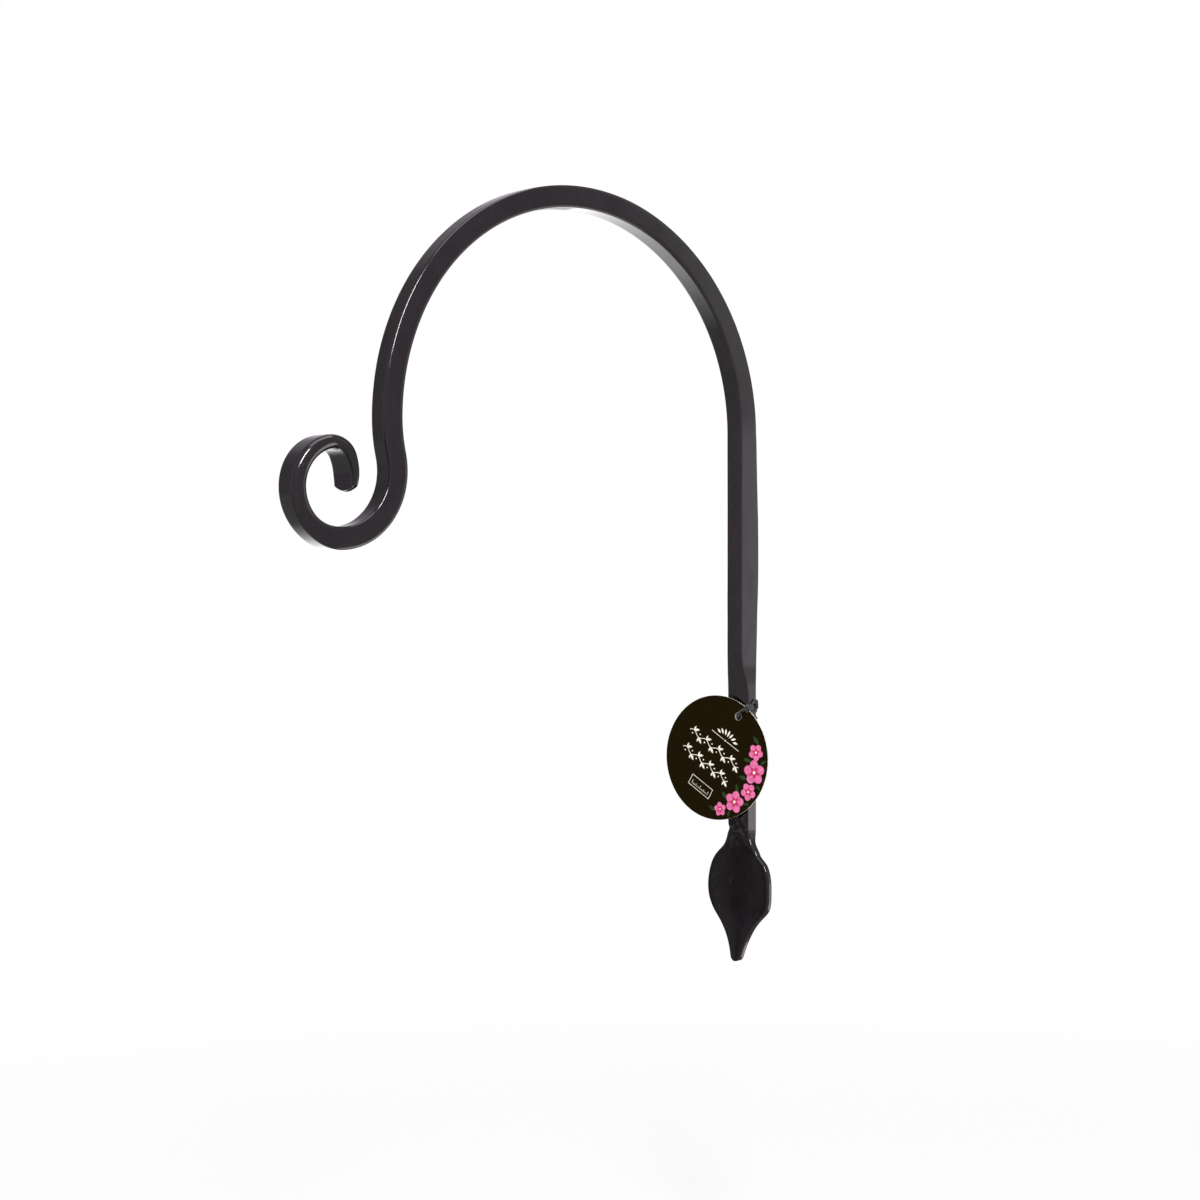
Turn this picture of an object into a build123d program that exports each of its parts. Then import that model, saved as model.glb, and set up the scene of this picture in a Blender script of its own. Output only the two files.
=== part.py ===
from build123d import *
import math
import os

# Hanging basket bracket: one square iron bar forged into an arch, a scroll with a fishtail end,
# a flat screw pad and a leaf finial, with a round card tag tied to the pad.
# Millimetres. X = 0 is the back of the screw pad, with the wall towards +X and the hook towards -X.
# Y = 0 is the middle plane of the bar. Z = 0 is midway between the two screw holes.

# Square bar
BAR_SIDE = 10.5
BAR_EDGE = 0.7

# Arch and scroll, measured on the bar's centreline
ARCH_RADIUS = 118.2
ARCH_HEIGHT = 176.5
THROAT_RADIUS = 80.0
THROAT_TURN = 13.4
SCROLL_ENTRY_RADIUS = 33.5
SCROLL_FRONT_RADIUS = 24.7
SCROLL_TOP_RADIUS = 22.1
SCROLL_TOP_TURN = 76.5
SCROLL_INNER_RADIUS = 10.5
SCROLL_INNER_TURN = 83.0
SCROLL_TIP_RADIUS = 27.6
SCROLL_TIP_TURN = 35.5

# Fishtail: the bar thins and spreads from the scroll's lowest point to its tip
TAIL_SHOULDER_THICKNESS = 7.8
TAIL_SHOULDER_WIDTH = 11.8
TAIL_FRONT_THICKNESS = 6.7
TAIL_FRONT_WIDTH = 13.4
TAIL_TOP_THICKNESS = 6.6
TAIL_TOP_WIDTH = 15.8
TAIL_TIP_THICKNESS = 4.1
TAIL_TIP_WIDTH = 15.6
TAIL_END_RADIUS = 14.0
TAIL_CORNER = 2.0
TAIL_EDGE = 0.7

# Screw pad
PAD_THICKNESS = 5.8
PAD_WIDTH = 15.4
PAD_INSET = 1.85
PAD_SHOULDER_HEIGHT = 58.0
PAD_SHOULDER_LENGTH = 26.0
SCREW_SPACING = 55.0
SCREW_HOLE_RADIUS = 2.6
SCREW_HEAD_RADIUS = 5.0
SCREW_HEAD_ANGLE = 90.0

# Leaf finial
LEAF_RADIUS = 24.0
LEAF_HEIGHT = -68.9
LEAF_NECK_RADIUS = 13.8
LEAF_THICKNESS = 3.0
LEAF_SET_BACK = 2.9
LEAF_STEP_LENGTH = 12.0
LEAF_TIP_RADIUS = 3.4
LEAF_TIP_HEIGHT = -110.6
LEAF_TAIL_RADIUS = 48.0
LEAF_CURL_RADIUS = 190.0
LEAF_CURL_START = -78.0

# Card tag, tilted about the upright so that it leans on the pad's right-hand edge
TAG_RADIUS = 34.1
TAG_THICKNESS = 0.55
TAG_TILT = 11.93
TAG_REACH = 19.75
TAG_STAND_OFF = 1.28
TAG_HEIGHT = 0.1
TAG_HOLE_RADIUS = 2.0
TAG_HOLE_ACROSS = 14.6
TAG_HOLE_UP = 23.0

# Tie: one cord through the tag's hole and twice round the pad
TIE_RADIUS = 0.55
TIE_GAP = 0.15
TIE_HEIGHT = 27.6
TIE_UPPER_RISE = 3.0
TIE_LOWER_DROP = 3.0
TIE_UPPER_SLOPE = 0.8
TIE_CROSS_RISE = 1.4
TIE_LOWER_SLOPE = 0.3
TIE_HOLE_LIFT = 0.1
TIE_OVERHANG = 1.3
TIE_EDGE_TURN = 4.0
TIE_BEND = 1.5

# Derived places: the leg's centreline, and how far a front outline is taken through the depth
LEG_X = PAD_INSET - BAR_SIDE / 2
DEPTH_FRONT = -3 * BAR_SIDE
DEPTH_BACK = BAR_SIDE


def upright(shape):
    """Stands a drawing of X across and Y up on the middle plane of the bar."""
    return Plane.XZ * shape


def bar_centreline():
    """The centreline from the foot of the arch to the scroll's lowest point, and on to its tip."""
    arch = JernArc((LEG_X, ARCH_HEIGHT), (0, 1), ARCH_RADIUS, 180)
    throat = JernArc(arch @ 1, arch % 1, THROAT_RADIUS, THROAT_TURN)
    entry = JernArc(throat @ 1, throat % 1, SCROLL_ENTRY_RADIUS, -(90 + THROAT_TURN))
    front = JernArc(entry @ 1, entry % 1, SCROLL_FRONT_RADIUS, -90)
    top = JernArc(front @ 1, front % 1, SCROLL_TOP_RADIUS, -SCROLL_TOP_TURN)
    inner = JernArc(top @ 1, top % 1, SCROLL_INNER_RADIUS, -SCROLL_INNER_TURN)
    tip = JernArc(inner @ 1, inner % 1, SCROLL_TIP_RADIUS, -SCROLL_TIP_TURN)
    return [arch, throat, entry], [front, top, inner, tip]


def section_at(line, place, thickness, width, edge):
    """The bar's section at one place on the centreline, thickness in the bend's plane."""
    tangent = line % place
    plane = Plane(origin=line @ place, x_dir=(-tangent.Y, tangent.X, 0), z_dir=tangent)
    blank = Rectangle(thickness, width)
    return plane * chamfer(blank.vertices(), edge)


def arch_bar():
    """The full square bar round the arch and down to the scroll's lowest point."""
    square, _ = bar_centreline()
    start = section_at(square[0], 0, BAR_SIDE, BAR_SIDE, BAR_EDGE)
    return upright(sweep(start, path=Wire(square)))


def fishtail():
    """The scroll's end, hammered thinner and wider along its length, with a rounded tip."""
    _, spread = bar_centreline()
    front, top, _, tip = spread
    sections = [
        section_at(front, 0, BAR_SIDE, BAR_SIDE, BAR_EDGE),
        section_at(front, 0.5, TAIL_SHOULDER_THICKNESS, TAIL_SHOULDER_WIDTH, TAIL_EDGE),
        section_at(front, 1, TAIL_FRONT_THICKNESS, TAIL_FRONT_WIDTH, TAIL_EDGE),
        section_at(top, 1, TAIL_TOP_THICKNESS, TAIL_TOP_WIDTH, TAIL_EDGE),
        section_at(tip, 1, TAIL_TIP_THICKNESS, TAIL_TIP_WIDTH, TAIL_EDGE),
    ]
    plate = sweep(sections, path=Wire(spread), multisection=True)
    return upright(plate - tip_waste(tip))


def tip_waste(tip):
    """What is cut away beyond the tip's rounded end, seen square to the plate."""
    along = tip % 1
    across = Vector(-along.Y, along.X, 0)
    flat = Plane(origin=tip @ 1, x_dir=(0, 0, 1), z_dir=across)
    round_end = Pos(0, -TAIL_END_RADIUS) * Circle(TAIL_END_RADIUS)
    strip = Pos(0, -TAIL_END_RADIUS) * Rectangle(TAIL_TIP_WIDTH, 2 * TAIL_END_RADIUS)
    end = round_end & strip
    end = fillet(end.vertices().sort_by(Axis.Y)[-2:], TAIL_CORNER)
    blank = Rectangle(TAIL_TIP_WIDTH * 2, TAIL_TIP_WIDTH / 2)
    return extrude(flat * (blank - end), TAIL_TIP_THICKNESS, both=True)


def s_bend(start, end):
    """Two equal arcs that leave and arrive upright, from one offset to another."""
    drop = end[1] - start[1]
    shift = end[0] - start[0]
    middle = ((start[0] + end[0]) / 2, (start[1] + end[1]) / 2)
    if abs(shift) < 1e-6:
        return [Line(start, end)]
    first = TangentArc(start, middle, tangent=(0, drop))
    return [first, TangentArc(middle, end, tangent=first % 1)]


def outline(edges):
    """A face from edges that close on themselves."""
    return make_face(Wire([edge for item in edges for edge in item.edges()]))


def half_front():
    """The pad's and shoulder's edge seen from the front, as offset from the middle and height."""
    top = (BAR_SIDE / 2, ARCH_HEIGHT)
    shoulder = (BAR_SIDE / 2, PAD_SHOULDER_HEIGHT)
    pad = (PAD_WIDTH / 2, PAD_SHOULDER_HEIGHT - PAD_SHOULDER_LENGTH)
    neck = (PAD_WIDTH / 2, neck_height())
    return [Line(top, shoulder)] + s_bend(shoulder, pad) + [Line(pad, neck)]


def neck_height():
    """Where the leaf's neck curve leaves the pad's edge."""
    across = PAD_WIDTH / 2 + LEAF_NECK_RADIUS
    reach = LEAF_RADIUS + LEAF_NECK_RADIUS
    return LEAF_HEIGHT + math.sqrt(reach**2 - across**2)


def between(first, second, share):
    """A point a share of the way from the first point to the second."""
    return tuple(a + (b - a) * share for a, b in zip(first, second))


def half_leaf():
    """The leaf's edge from the neck to its tip: hollow neck, round body, hollow tail, round tip."""
    body = (0, LEAF_HEIGHT)
    neck = (PAD_WIDTH / 2 + LEAF_NECK_RADIUS, neck_height())
    tip = (0, LEAF_TIP_HEIGHT + LEAF_TIP_RADIUS)
    gap = body[1] - tip[1]
    to_body = LEAF_RADIUS + LEAF_TAIL_RADIUS
    to_tip = LEAF_TIP_RADIUS + LEAF_TAIL_RADIUS
    drop = (to_body**2 - to_tip**2 + gap**2) / (2 * gap)
    tail = (math.sqrt(to_body**2 - drop**2), body[1] - drop)
    neck_end = between(body, neck, LEAF_RADIUS / (LEAF_RADIUS + LEAF_NECK_RADIUS))
    body_end = between(body, tail, LEAF_RADIUS / to_body)
    tail_end = between(tip, tail, LEAF_TIP_RADIUS / to_tip)
    neck_arc = TangentArc((PAD_WIDTH / 2, neck[1]), neck_end, tangent=(0, -1))
    body_arc = TangentArc(neck_end, body_end, tangent=neck_arc % 1)
    tail_arc = TangentArc(body_end, tail_end, tangent=body_arc % 1)
    tip_arc = TangentArc(tail_end, (0, LEAF_TIP_HEIGHT), tangent=tail_arc % 1)
    return [neck_arc, body_arc, tail_arc, tip_arc]


def front_solid(edges):
    """A front outline, mirrored about the middle plane, made solid through the bar's depth."""
    half = [e for e in edges]
    other = [mirror(e, about=Plane.YZ) for e in half]
    ends = [(edges[0] @ 0), (edges[-1] @ 1)]
    closing = [Line(p, (-p.X, p.Y)) for p in ends if abs(p.X) > 1e-6]
    face = outline(half + other + closing)
    facing = Plane(origin=(0, 0, 0), x_dir=(0, 1, 0), z_dir=(1, 0, 0))
    return Pos(DEPTH_FRONT, 0, 0) * extrude(facing * face, DEPTH_BACK - DEPTH_FRONT)


def leg_and_pad():
    """The straight leg, the shoulder and the flat screw pad, from the arch's foot to the leaf."""
    front = front_solid(half_front())
    shoulder = PAD_SHOULDER_HEIGHT
    flat = shoulder - PAD_SHOULDER_LENGTH
    foot = neck_height()
    face = PAD_INSET - BAR_SIDE
    out = [Line((face, ARCH_HEIGHT), (face, shoulder))]
    out += s_bend((face, shoulder), (-PAD_THICKNESS, flat))
    out += [Line((-PAD_THICKNESS, flat), (-PAD_THICKNESS, foot)), Line((-PAD_THICKNESS, foot), (0, foot))]
    out += [Line((0, foot), (0, flat))] + s_bend((0, flat), (PAD_INSET, shoulder))
    back_edge = Line((PAD_INSET, shoulder), (PAD_INSET, ARCH_HEIGHT))
    top_edge = Line((PAD_INSET, ARCH_HEIGHT), (face, ARCH_HEIGHT))
    out += [back_edge, top_edge]
    side = extrude(outline(out), PAD_WIDTH, both=True)
    return front & upright(side)


def leaf_side():
    """The leaf's side view: it steps forward from the pad's back, runs flat and curls at the tip."""
    foot = neck_height()
    step = foot - LEAF_STEP_LENGTH
    low = LEAF_TIP_HEIGHT - LEAF_TIP_RADIUS
    turn = math.degrees(math.asin((LEAF_CURL_START - low) / LEAF_CURL_RADIUS))
    back = -LEAF_SET_BACK
    face = back - LEAF_THICKNESS
    outer = s_bend((0, foot), (back, step)) + [Line((back, step), (back, LEAF_CURL_START))]
    outer += [JernArc((back, LEAF_CURL_START), (0, -1), LEAF_CURL_RADIUS, -turn)]
    inner = s_bend((-PAD_THICKNESS, foot), (face, step)) + [Line((face, step), (face, LEAF_CURL_START))]
    inner += [JernArc((face, LEAF_CURL_START), (0, -1), LEAF_CURL_RADIUS - LEAF_THICKNESS, -turn)]
    ends = [Line((0, foot), (-PAD_THICKNESS, foot)), Line(outer[-1] @ 1, inner[-1] @ 1)]
    return outline(outer + inner + ends)


def leaf():
    """The leaf: its side view taken across its width and cut to its outline."""
    sheet = extrude(upright(leaf_side()), LEAF_RADIUS * 1.1, both=True)
    return front_solid(half_leaf()) & sheet


def long_edges(solid):
    """The edges that run down the sides of a piece, apart from those of its cut ends."""
    edges = solid.edges()
    return [e for e in edges if e.geom_type != GeomType.LINE or abs((e @ 0).Z - (e @ 1).Z) > 1e-4]


def screw_hole(height):
    """One countersunk hole's shape, its wide mouth on the pad's front."""
    depth = (SCREW_HEAD_RADIUS - SCREW_HOLE_RADIUS) / math.tan(math.radians(SCREW_HEAD_ANGLE / 2))
    front = Plane(origin=(-PAD_THICKNESS, 0, height), x_dir=(0, 1, 0), z_dir=(-1, 0, 0))
    shank = Pos(0, 0, -PAD_THICKNESS / 2) * Cylinder(SCREW_HOLE_RADIUS, PAD_THICKNESS * 2)
    mouth = Pos(0, 0, -depth / 2) * Cone(SCREW_HOLE_RADIUS, SCREW_HEAD_RADIUS, depth)
    return front * (shank + mouth)


def hanger_bar():
    """The whole forging in one solid."""
    foot = leg_and_pad() + leaf()
    foot = chamfer(long_edges(foot), BAR_EDGE)
    foot = foot - screw_hole(SCREW_SPACING / 2) - screw_hole(-SCREW_SPACING / 2)
    return arch_bar() + fishtail() + foot


def tag_plane():
    """The card's middle plane: X across the card, Y up it, Z out of its printed face."""
    tilt = math.radians(TAG_TILT)
    facing = (-math.cos(tilt), -math.sin(tilt), 0)
    across = (math.sin(tilt), -math.cos(tilt), 0)
    edge = Vector(-PAD_THICKNESS, -PAD_WIDTH / 2, TAG_HEIGHT)
    centre = edge - TAG_REACH * Vector(*across) + (TAG_STAND_OFF + TAG_THICKNESS / 2) * Vector(*facing)
    return Plane(origin=centre, x_dir=across, z_dir=facing)


def tag():
    """The round card with its punched hole."""
    disc = Cylinder(TAG_RADIUS, TAG_THICKNESS)
    hole = Pos(TAG_HOLE_ACROSS, TAG_HOLE_UP, 0) * Cylinder(TAG_HOLE_RADIUS, TAG_THICKNESS * 3)
    return tag_plane() * (disc - hole)


def tie_points():
    """The tie's corners: over the card's face and edge, twice round the pad, and back behind the card."""
    card = tag_plane()
    off_card = TAG_THICKNESS / 2 + TIE_RADIUS + TIE_GAP
    off_pad = TIE_RADIUS + TIE_GAP
    left = PAD_WIDTH / 2 + off_pad
    right = -left
    front = -PAD_THICKNESS - off_pad
    back = off_pad
    upper = TIE_HEIGHT + TIE_UPPER_RISE
    lower = TIE_HEIGHT - TIE_LOWER_DROP
    reach = math.hypot(TAG_HOLE_ACROSS, TAG_HOLE_UP)
    past = (TAG_RADIUS + TIE_OVERHANG) / reach
    turn = -math.radians(TIE_EDGE_TURN)
    edge_x = past * (TAG_HOLE_ACROSS * math.cos(turn) - TAG_HOLE_UP * math.sin(turn))
    edge_y = past * (TAG_HOLE_ACROSS * math.sin(turn) + TAG_HOLE_UP * math.cos(turn))
    hole_front = card.from_local_coords((TAG_HOLE_ACROSS, TAG_HOLE_UP, off_card + TIE_HOLE_LIFT))
    over_edge = card.from_local_coords((edge_x, edge_y, off_card))
    hole_back = card.from_local_coords((TAG_HOLE_ACROSS, TAG_HOLE_UP, -off_card))
    return [
        hole_front,
        over_edge,
        Vector(back, right, upper),
        Vector(back, left, upper - TIE_UPPER_SLOPE),
        Vector(front, left, upper - 2 * TIE_UPPER_SLOPE),
        Vector(front, right, lower + TIE_CROSS_RISE),
        Vector(back, right, lower),
        Vector(back, left, lower - TIE_LOWER_SLOPE),
        Vector(front, left, lower),
        hole_back,
    ]


def corner_radii(points):
    """A bend's radius at each corner, as large as its two runs allow, up to the tie's own bend."""
    radii = []
    count = len(points)
    for i, corner in enumerate(points):
        before = points[i - 1] - corner
        after = points[(i + 1) % count] - corner
        turn = 180 - before.get_angle(after)
        room = 0.45 * min(before.length, after.length) / math.tan(math.radians(turn / 2))
        radii.append(min(TIE_BEND, room))
    return radii


def tag_tie():
    """The cord as one closed ring, a straight or curved length of tube for each stretch of its route."""
    points = tie_points()
    radii = corner_radii(points)
    path = FilletPolyline(*points, radius=radii, close=True)
    lengths = [sweep(Plane(origin=e @ 0, z_dir=e % 0) * Circle(TIE_RADIUS), path=e) for e in path.edges()]
    tube = lengths[0].fuse(*lengths[1:])
    print("tie length", round(path.length, 1), "radii", [round(r, 2) for r in radii])
    print("tie volume", round(tube.volume, 2), "of", round(path.length * math.pi * TIE_RADIUS**2, 2))
    return tube


if __name__ == "__main__":
    os.makedirs("parts", exist_ok=True)
    export_step(hanger_bar(), "parts/hanger_bar.step")
    export_step(tag(), "parts/tag.step")
    export_step(tag_tie(), "parts/tag_tie.step")
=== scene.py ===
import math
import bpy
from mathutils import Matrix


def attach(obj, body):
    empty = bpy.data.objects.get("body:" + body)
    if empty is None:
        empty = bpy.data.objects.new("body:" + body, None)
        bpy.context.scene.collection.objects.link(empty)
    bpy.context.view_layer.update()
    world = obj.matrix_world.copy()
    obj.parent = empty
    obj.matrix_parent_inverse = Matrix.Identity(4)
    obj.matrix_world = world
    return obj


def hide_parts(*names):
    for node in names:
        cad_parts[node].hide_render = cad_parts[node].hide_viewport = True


bl_info = {
    "name": "Hanging basket bracket",
    "version": (1, 0, 0),
    "blender": (4, 5, 0),
    "location": "View3D > Sidebar > Bracket",
    "description": "Builds a forged hanging basket bracket with its card tag, tie and studio",
    "category": "Add Mesh",
}

import bpy
from bpy.props import FloatProperty, FloatVectorProperty, IntProperty, PointerProperty
from mathutils import Matrix, Vector

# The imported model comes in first, and its box is kept before any piece is added.
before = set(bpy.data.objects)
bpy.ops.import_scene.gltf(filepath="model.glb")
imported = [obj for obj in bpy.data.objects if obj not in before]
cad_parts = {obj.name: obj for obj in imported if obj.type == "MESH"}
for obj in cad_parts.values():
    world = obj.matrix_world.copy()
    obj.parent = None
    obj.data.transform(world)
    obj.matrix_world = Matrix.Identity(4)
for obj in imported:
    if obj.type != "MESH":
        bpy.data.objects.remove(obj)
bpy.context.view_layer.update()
MM = 0.001

# The sections go round with this many runs on the wide sides, the narrow sides and each rounded edge.
WIDE_RUNS = 10
NARROW_RUNS = 4
EDGE_RUNS = 3
SECTION_POINTS = 2 * (WIDE_RUNS - 1) + 2 * (NARROW_RUNS - 1) + 4 * (EDGE_RUNS + 1)

# Levels of the walls in the paint's gloss, from straight towards the camera (-1) to straight at the backdrop (1).
WALLS = (
    (-1.0, 0.70), (-0.45, 0.60), (-0.20, 0.54), (-0.145, 0.62), (-0.11, 1.05), (0.10, 0.54), (0.24, 0.39), (0.36, 0.28),
    (0.56, 0.26), (0.66, 0.46), (0.84, 0.52), (0.95, 0.84),
)
# Levels of the bright table behind the bracket, by its X in metres.
TABLE = ((-0.44, 0.45), (-0.28, 1.2), (-0.06, 2.8))

# From the arch's top on, the edges on the viewer's side grow rounder than the others, up to this factor.
NEAR_EDGE = 1.5
# On the leg they are sharper by this factor, and on the leaf rounder by this one.
LEG_EDGE = 0.45
LEAF_EDGE = 1.7

# The leg's bow: the height of its fullest place and how far it reaches up and down.
BOW_HEIGHT = 0.113
BOW_LENGTH = 0.045

# Where the rings of the straight bar start above the tip and end below the arch, and the length of finer rings.
TIP_GAP = 0.00006
ARCH_GAP = 0.0005
FINE_LENGTH = 0.006

# The fishtail beyond its plain start: share along it (1 at the scroll's front, 2 at its tip), and its thickness
# and width in millimetres.
TAIL_SIZES = (
    (0.5, 9.4, 12.0), (1.0, 8.3, 14.2), (1.4, 7.4, 17.4), (1.65, 6.0, 18.8), (1.85, 4.2, 19.0), (2.0, 2.8, 17.6),
)
# The length over which the fishtail's end is rounded.
TAIL_END_LENGTH = 0.009

# Where the leaf is nipped in on its left: share, height and reach.
LEFT_NIPS = ((0.05, -0.060, 0.013), (0.08, -0.0485, 0.0045))
# The reach of the leaf's shoulder, of its nip on the right and of the notch, and how deep the notch cuts in.
SHOULDER_REACH = 0.0068
NIP_REACH = 0.0030
NOTCH_REACH = 0.0013
NOTCH_DEPTH = 0.006
# The length over which the leaf grows to its full size above its tip.
FULL_LENGTH = 0.04

# Hammer marks: what is nearer than this to the wall, in bar widths, counts as the leg, the pad or the leaf.
NEAR_WALL = 4
# Below this height the unevenness keeps only this share.
LEAF_TOP = -0.040
LEAF_WAVES = 0.15
# Dents start at this height and fade out over this length below the arch.
DENTS_FROM = 0.030
DENTS_FADE = 0.05
# The reach of the rough neck.
NECK_REACH = 0.009

# The knot's height and size, and the points on its own line.
KNOT_HEIGHT = 0.0276
KNOT_SIZE = 0.00066
KNOT_POINTS = 90

# The print, in millimetres on the card. Vines run from one place to another.
VINES = (((-23.0, 3.6), (15.0, 3.6)), ((-22.0, -7.0), (13.0, -7.0)))
RULE_HEIGHT = 11.2
FRAME_CORNERS = ((-8.4, -16.6), (7.4, -16.6), (7.4, -22.4), (-8.4, -22.4))
TICK_FOOT = -21.2
# Blossoms, each with its direction in degrees, distance from the card's middle, size and turn.
GARLAND = (
    (40, 26.6, 4.8, 0.3), (16, 26.2, 6.9, 0.9), (-8, 27.8, 5.0, 0.1), (-31, 26.6, 6.2, 0.6), (-53, 28.2, 4.0, 1.0),
)
# Leaves between the blossoms, each with its direction in degrees, distance, size and lean.
GARLAND_LEAVES = (
    (53, 28.4, 2.8, 1.9), (29, 31.2, 2.2, 0.6), (30, 20.8, 2.8, 2.9), (2, 20.6, 2.8, 3.4), (3, 31.8, 1.8, -0.4),
    (-18, 21.4, 2.7, 2.6), (-19, 31.6, 2.0, 0.9), (-43, 21.2, 2.7, 3.6), (-43, 31.4, 2.0, -0.6), (-64, 28.0, 2.5, -2.0),
)

# The camera's right and back directions and its place, and the level direction that it looks along.
CAMERA_RIGHT = (0.76713, -0.64148, 0.0)
CAMERA_BACK = (-0.64148, -0.76713, 0.00356)
CAMERA_PLACE = (-0.98938, -1.05851, 0.09162)
AWAY = (0.6415, 0.7671, 0)

# The cards that only the gloss shows: place, what they face and size.
DARK_CARD = ((-0.16, 0.19, -0.165), (0, 0, -0.165), (0.34, 0.23))
BRIGHT_CARD = ((0.55, -0.59, -0.42), (0, 0, -0.42), (0.6, 0.8))
SIDE_CARD = ((1.166, -1.179, 0.78), (0, 0, 0.05), (0.30, 0.95))
BRIGHT_STRIP = ((-0.80, -0.93, 0.99), (-0.20, 0, 0.22), (0.32, 0.72))
# The lamps: place, what they face and width.
KEY_LAMP = ((-0.75, -0.95, 0.96), (-0.20, 0, 0.22), 0.16)
KEY_LENGTH = 0.62
TOP_LAMP = ((-0.15, -0.1, 1.45), (-0.15, 0, 0.1), 1.0)
SIDE_LAMP = ((1.22, -1.12, -0.06), (0.0, 0, -0.06), 0.70)


# Properties


class BracketBarSizes(bpy.types.PropertyGroup):
    """The bar, its arch and its scroll."""

    side: FloatProperty(name="Side", description="Width of the square bar", default=0.0105, unit="LENGTH")
    edge: FloatProperty(name="Edge", description="Rounding of the bar's edges", default=0.0009, unit="LENGTH")
    full: FloatProperty(
        name="Fullness", description="How far the bar's faces stand out from their plain size", default=0.0005,
        unit="LENGTH",
    )
    bow: FloatProperty(
        name="Bow", description="How far the leg's back stands out at its fullest", default=0.0018, unit="LENGTH",
    )
    ring_step: FloatProperty(
        name="Ring step", description="Length of bar between two rings of points", default=0.0024, unit="LENGTH",
    )
    arch_height: FloatProperty(
        name="Arch height", description="Height at which the arch leaves the leg", default=0.1765, unit="LENGTH",
    )
    arch_radius: FloatProperty(
        name="Arch radius", description="Radius of the arch at the bar's middle", default=0.1182, unit="LENGTH",
    )
    throat_radius: FloatProperty(
        name="Throat radius", description="Radius between the arch and the scroll", default=0.080, unit="LENGTH",
    )
    throat_turn: FloatProperty(
        name="Throat turn", description="Turn between the arch and the scroll", default=math.radians(13.4),
        subtype="ANGLE",
    )
    scroll_radii: FloatVectorProperty(
        name="Scroll radii", description="Radii of the scroll from its entry to its top", size=3,
        default=(0.0335, 0.0247, 0.0221),
    )
    curl_radii: FloatVectorProperty(
        name="Curl radii", description="Radii of the scroll's inner curl and tip", size=2, default=(0.0105, 0.0276),
    )
    curl_turns: FloatVectorProperty(
        name="Curl turns", description="Turns of the scroll's top, curl and tip, in degrees", size=3,
        default=(76.5, 83.0, 37.2),
    )
    tail_end: FloatProperty(name="Tail end", description="Radius of the fishtail's end", default=0.014, unit="LENGTH")
    dent: FloatProperty(name="Dent", description="Depth of the hammer marks", default=0.0001, unit="LENGTH")
    waves: FloatProperty(
        name="Waves", description="Depth of the bar's soft unevenness", default=0.00012, unit="LENGTH",
    )
    scale: FloatProperty(
        name="Scale", description="Depth of the rough scale above the leaf", default=0.0004, unit="LENGTH",
    )
    dent_size: FloatProperty(name="Dent size", description="Width of one hammer mark", default=0.011, unit="LENGTH")


class BracketPadSizes(bpy.types.PropertyGroup):
    """The screw pad between the leg and the leaf."""

    thickness: FloatProperty(
        name="Thickness", description="Thickness of the screw pad", default=0.0058, unit="LENGTH",
    )
    width: FloatProperty(name="Width", description="Width of the screw pad", default=0.0154, unit="LENGTH")
    inset: FloatProperty(
        name="Inset", description="How far the leg stands behind the pad's back", default=0.00185, unit="LENGTH",
    )
    shoulder: FloatProperty(
        name="Shoulder", description="Height at which the pad starts to spread", default=0.058, unit="LENGTH",
    )
    spread: FloatProperty(
        name="Spread", description="Length over which the pad spreads", default=0.026, unit="LENGTH",
    )
    neck_height: FloatProperty(
        name="Neck height", description="How far below the middle of the screws the rough neck lies", default=0.040,
        unit="LENGTH",
    )
    screw_spacing: FloatProperty(
        name="Screw spacing", description="Distance between the screw holes", default=0.055, unit="LENGTH",
    )
    screw_hole: FloatProperty(name="Screw hole", description="Radius of a screw hole", default=0.0026, unit="LENGTH")
    screw_head: FloatProperty(
        name="Screw head", description="Radius of a hole's countersunk mouth", default=0.0050, unit="LENGTH",
    )


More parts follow.
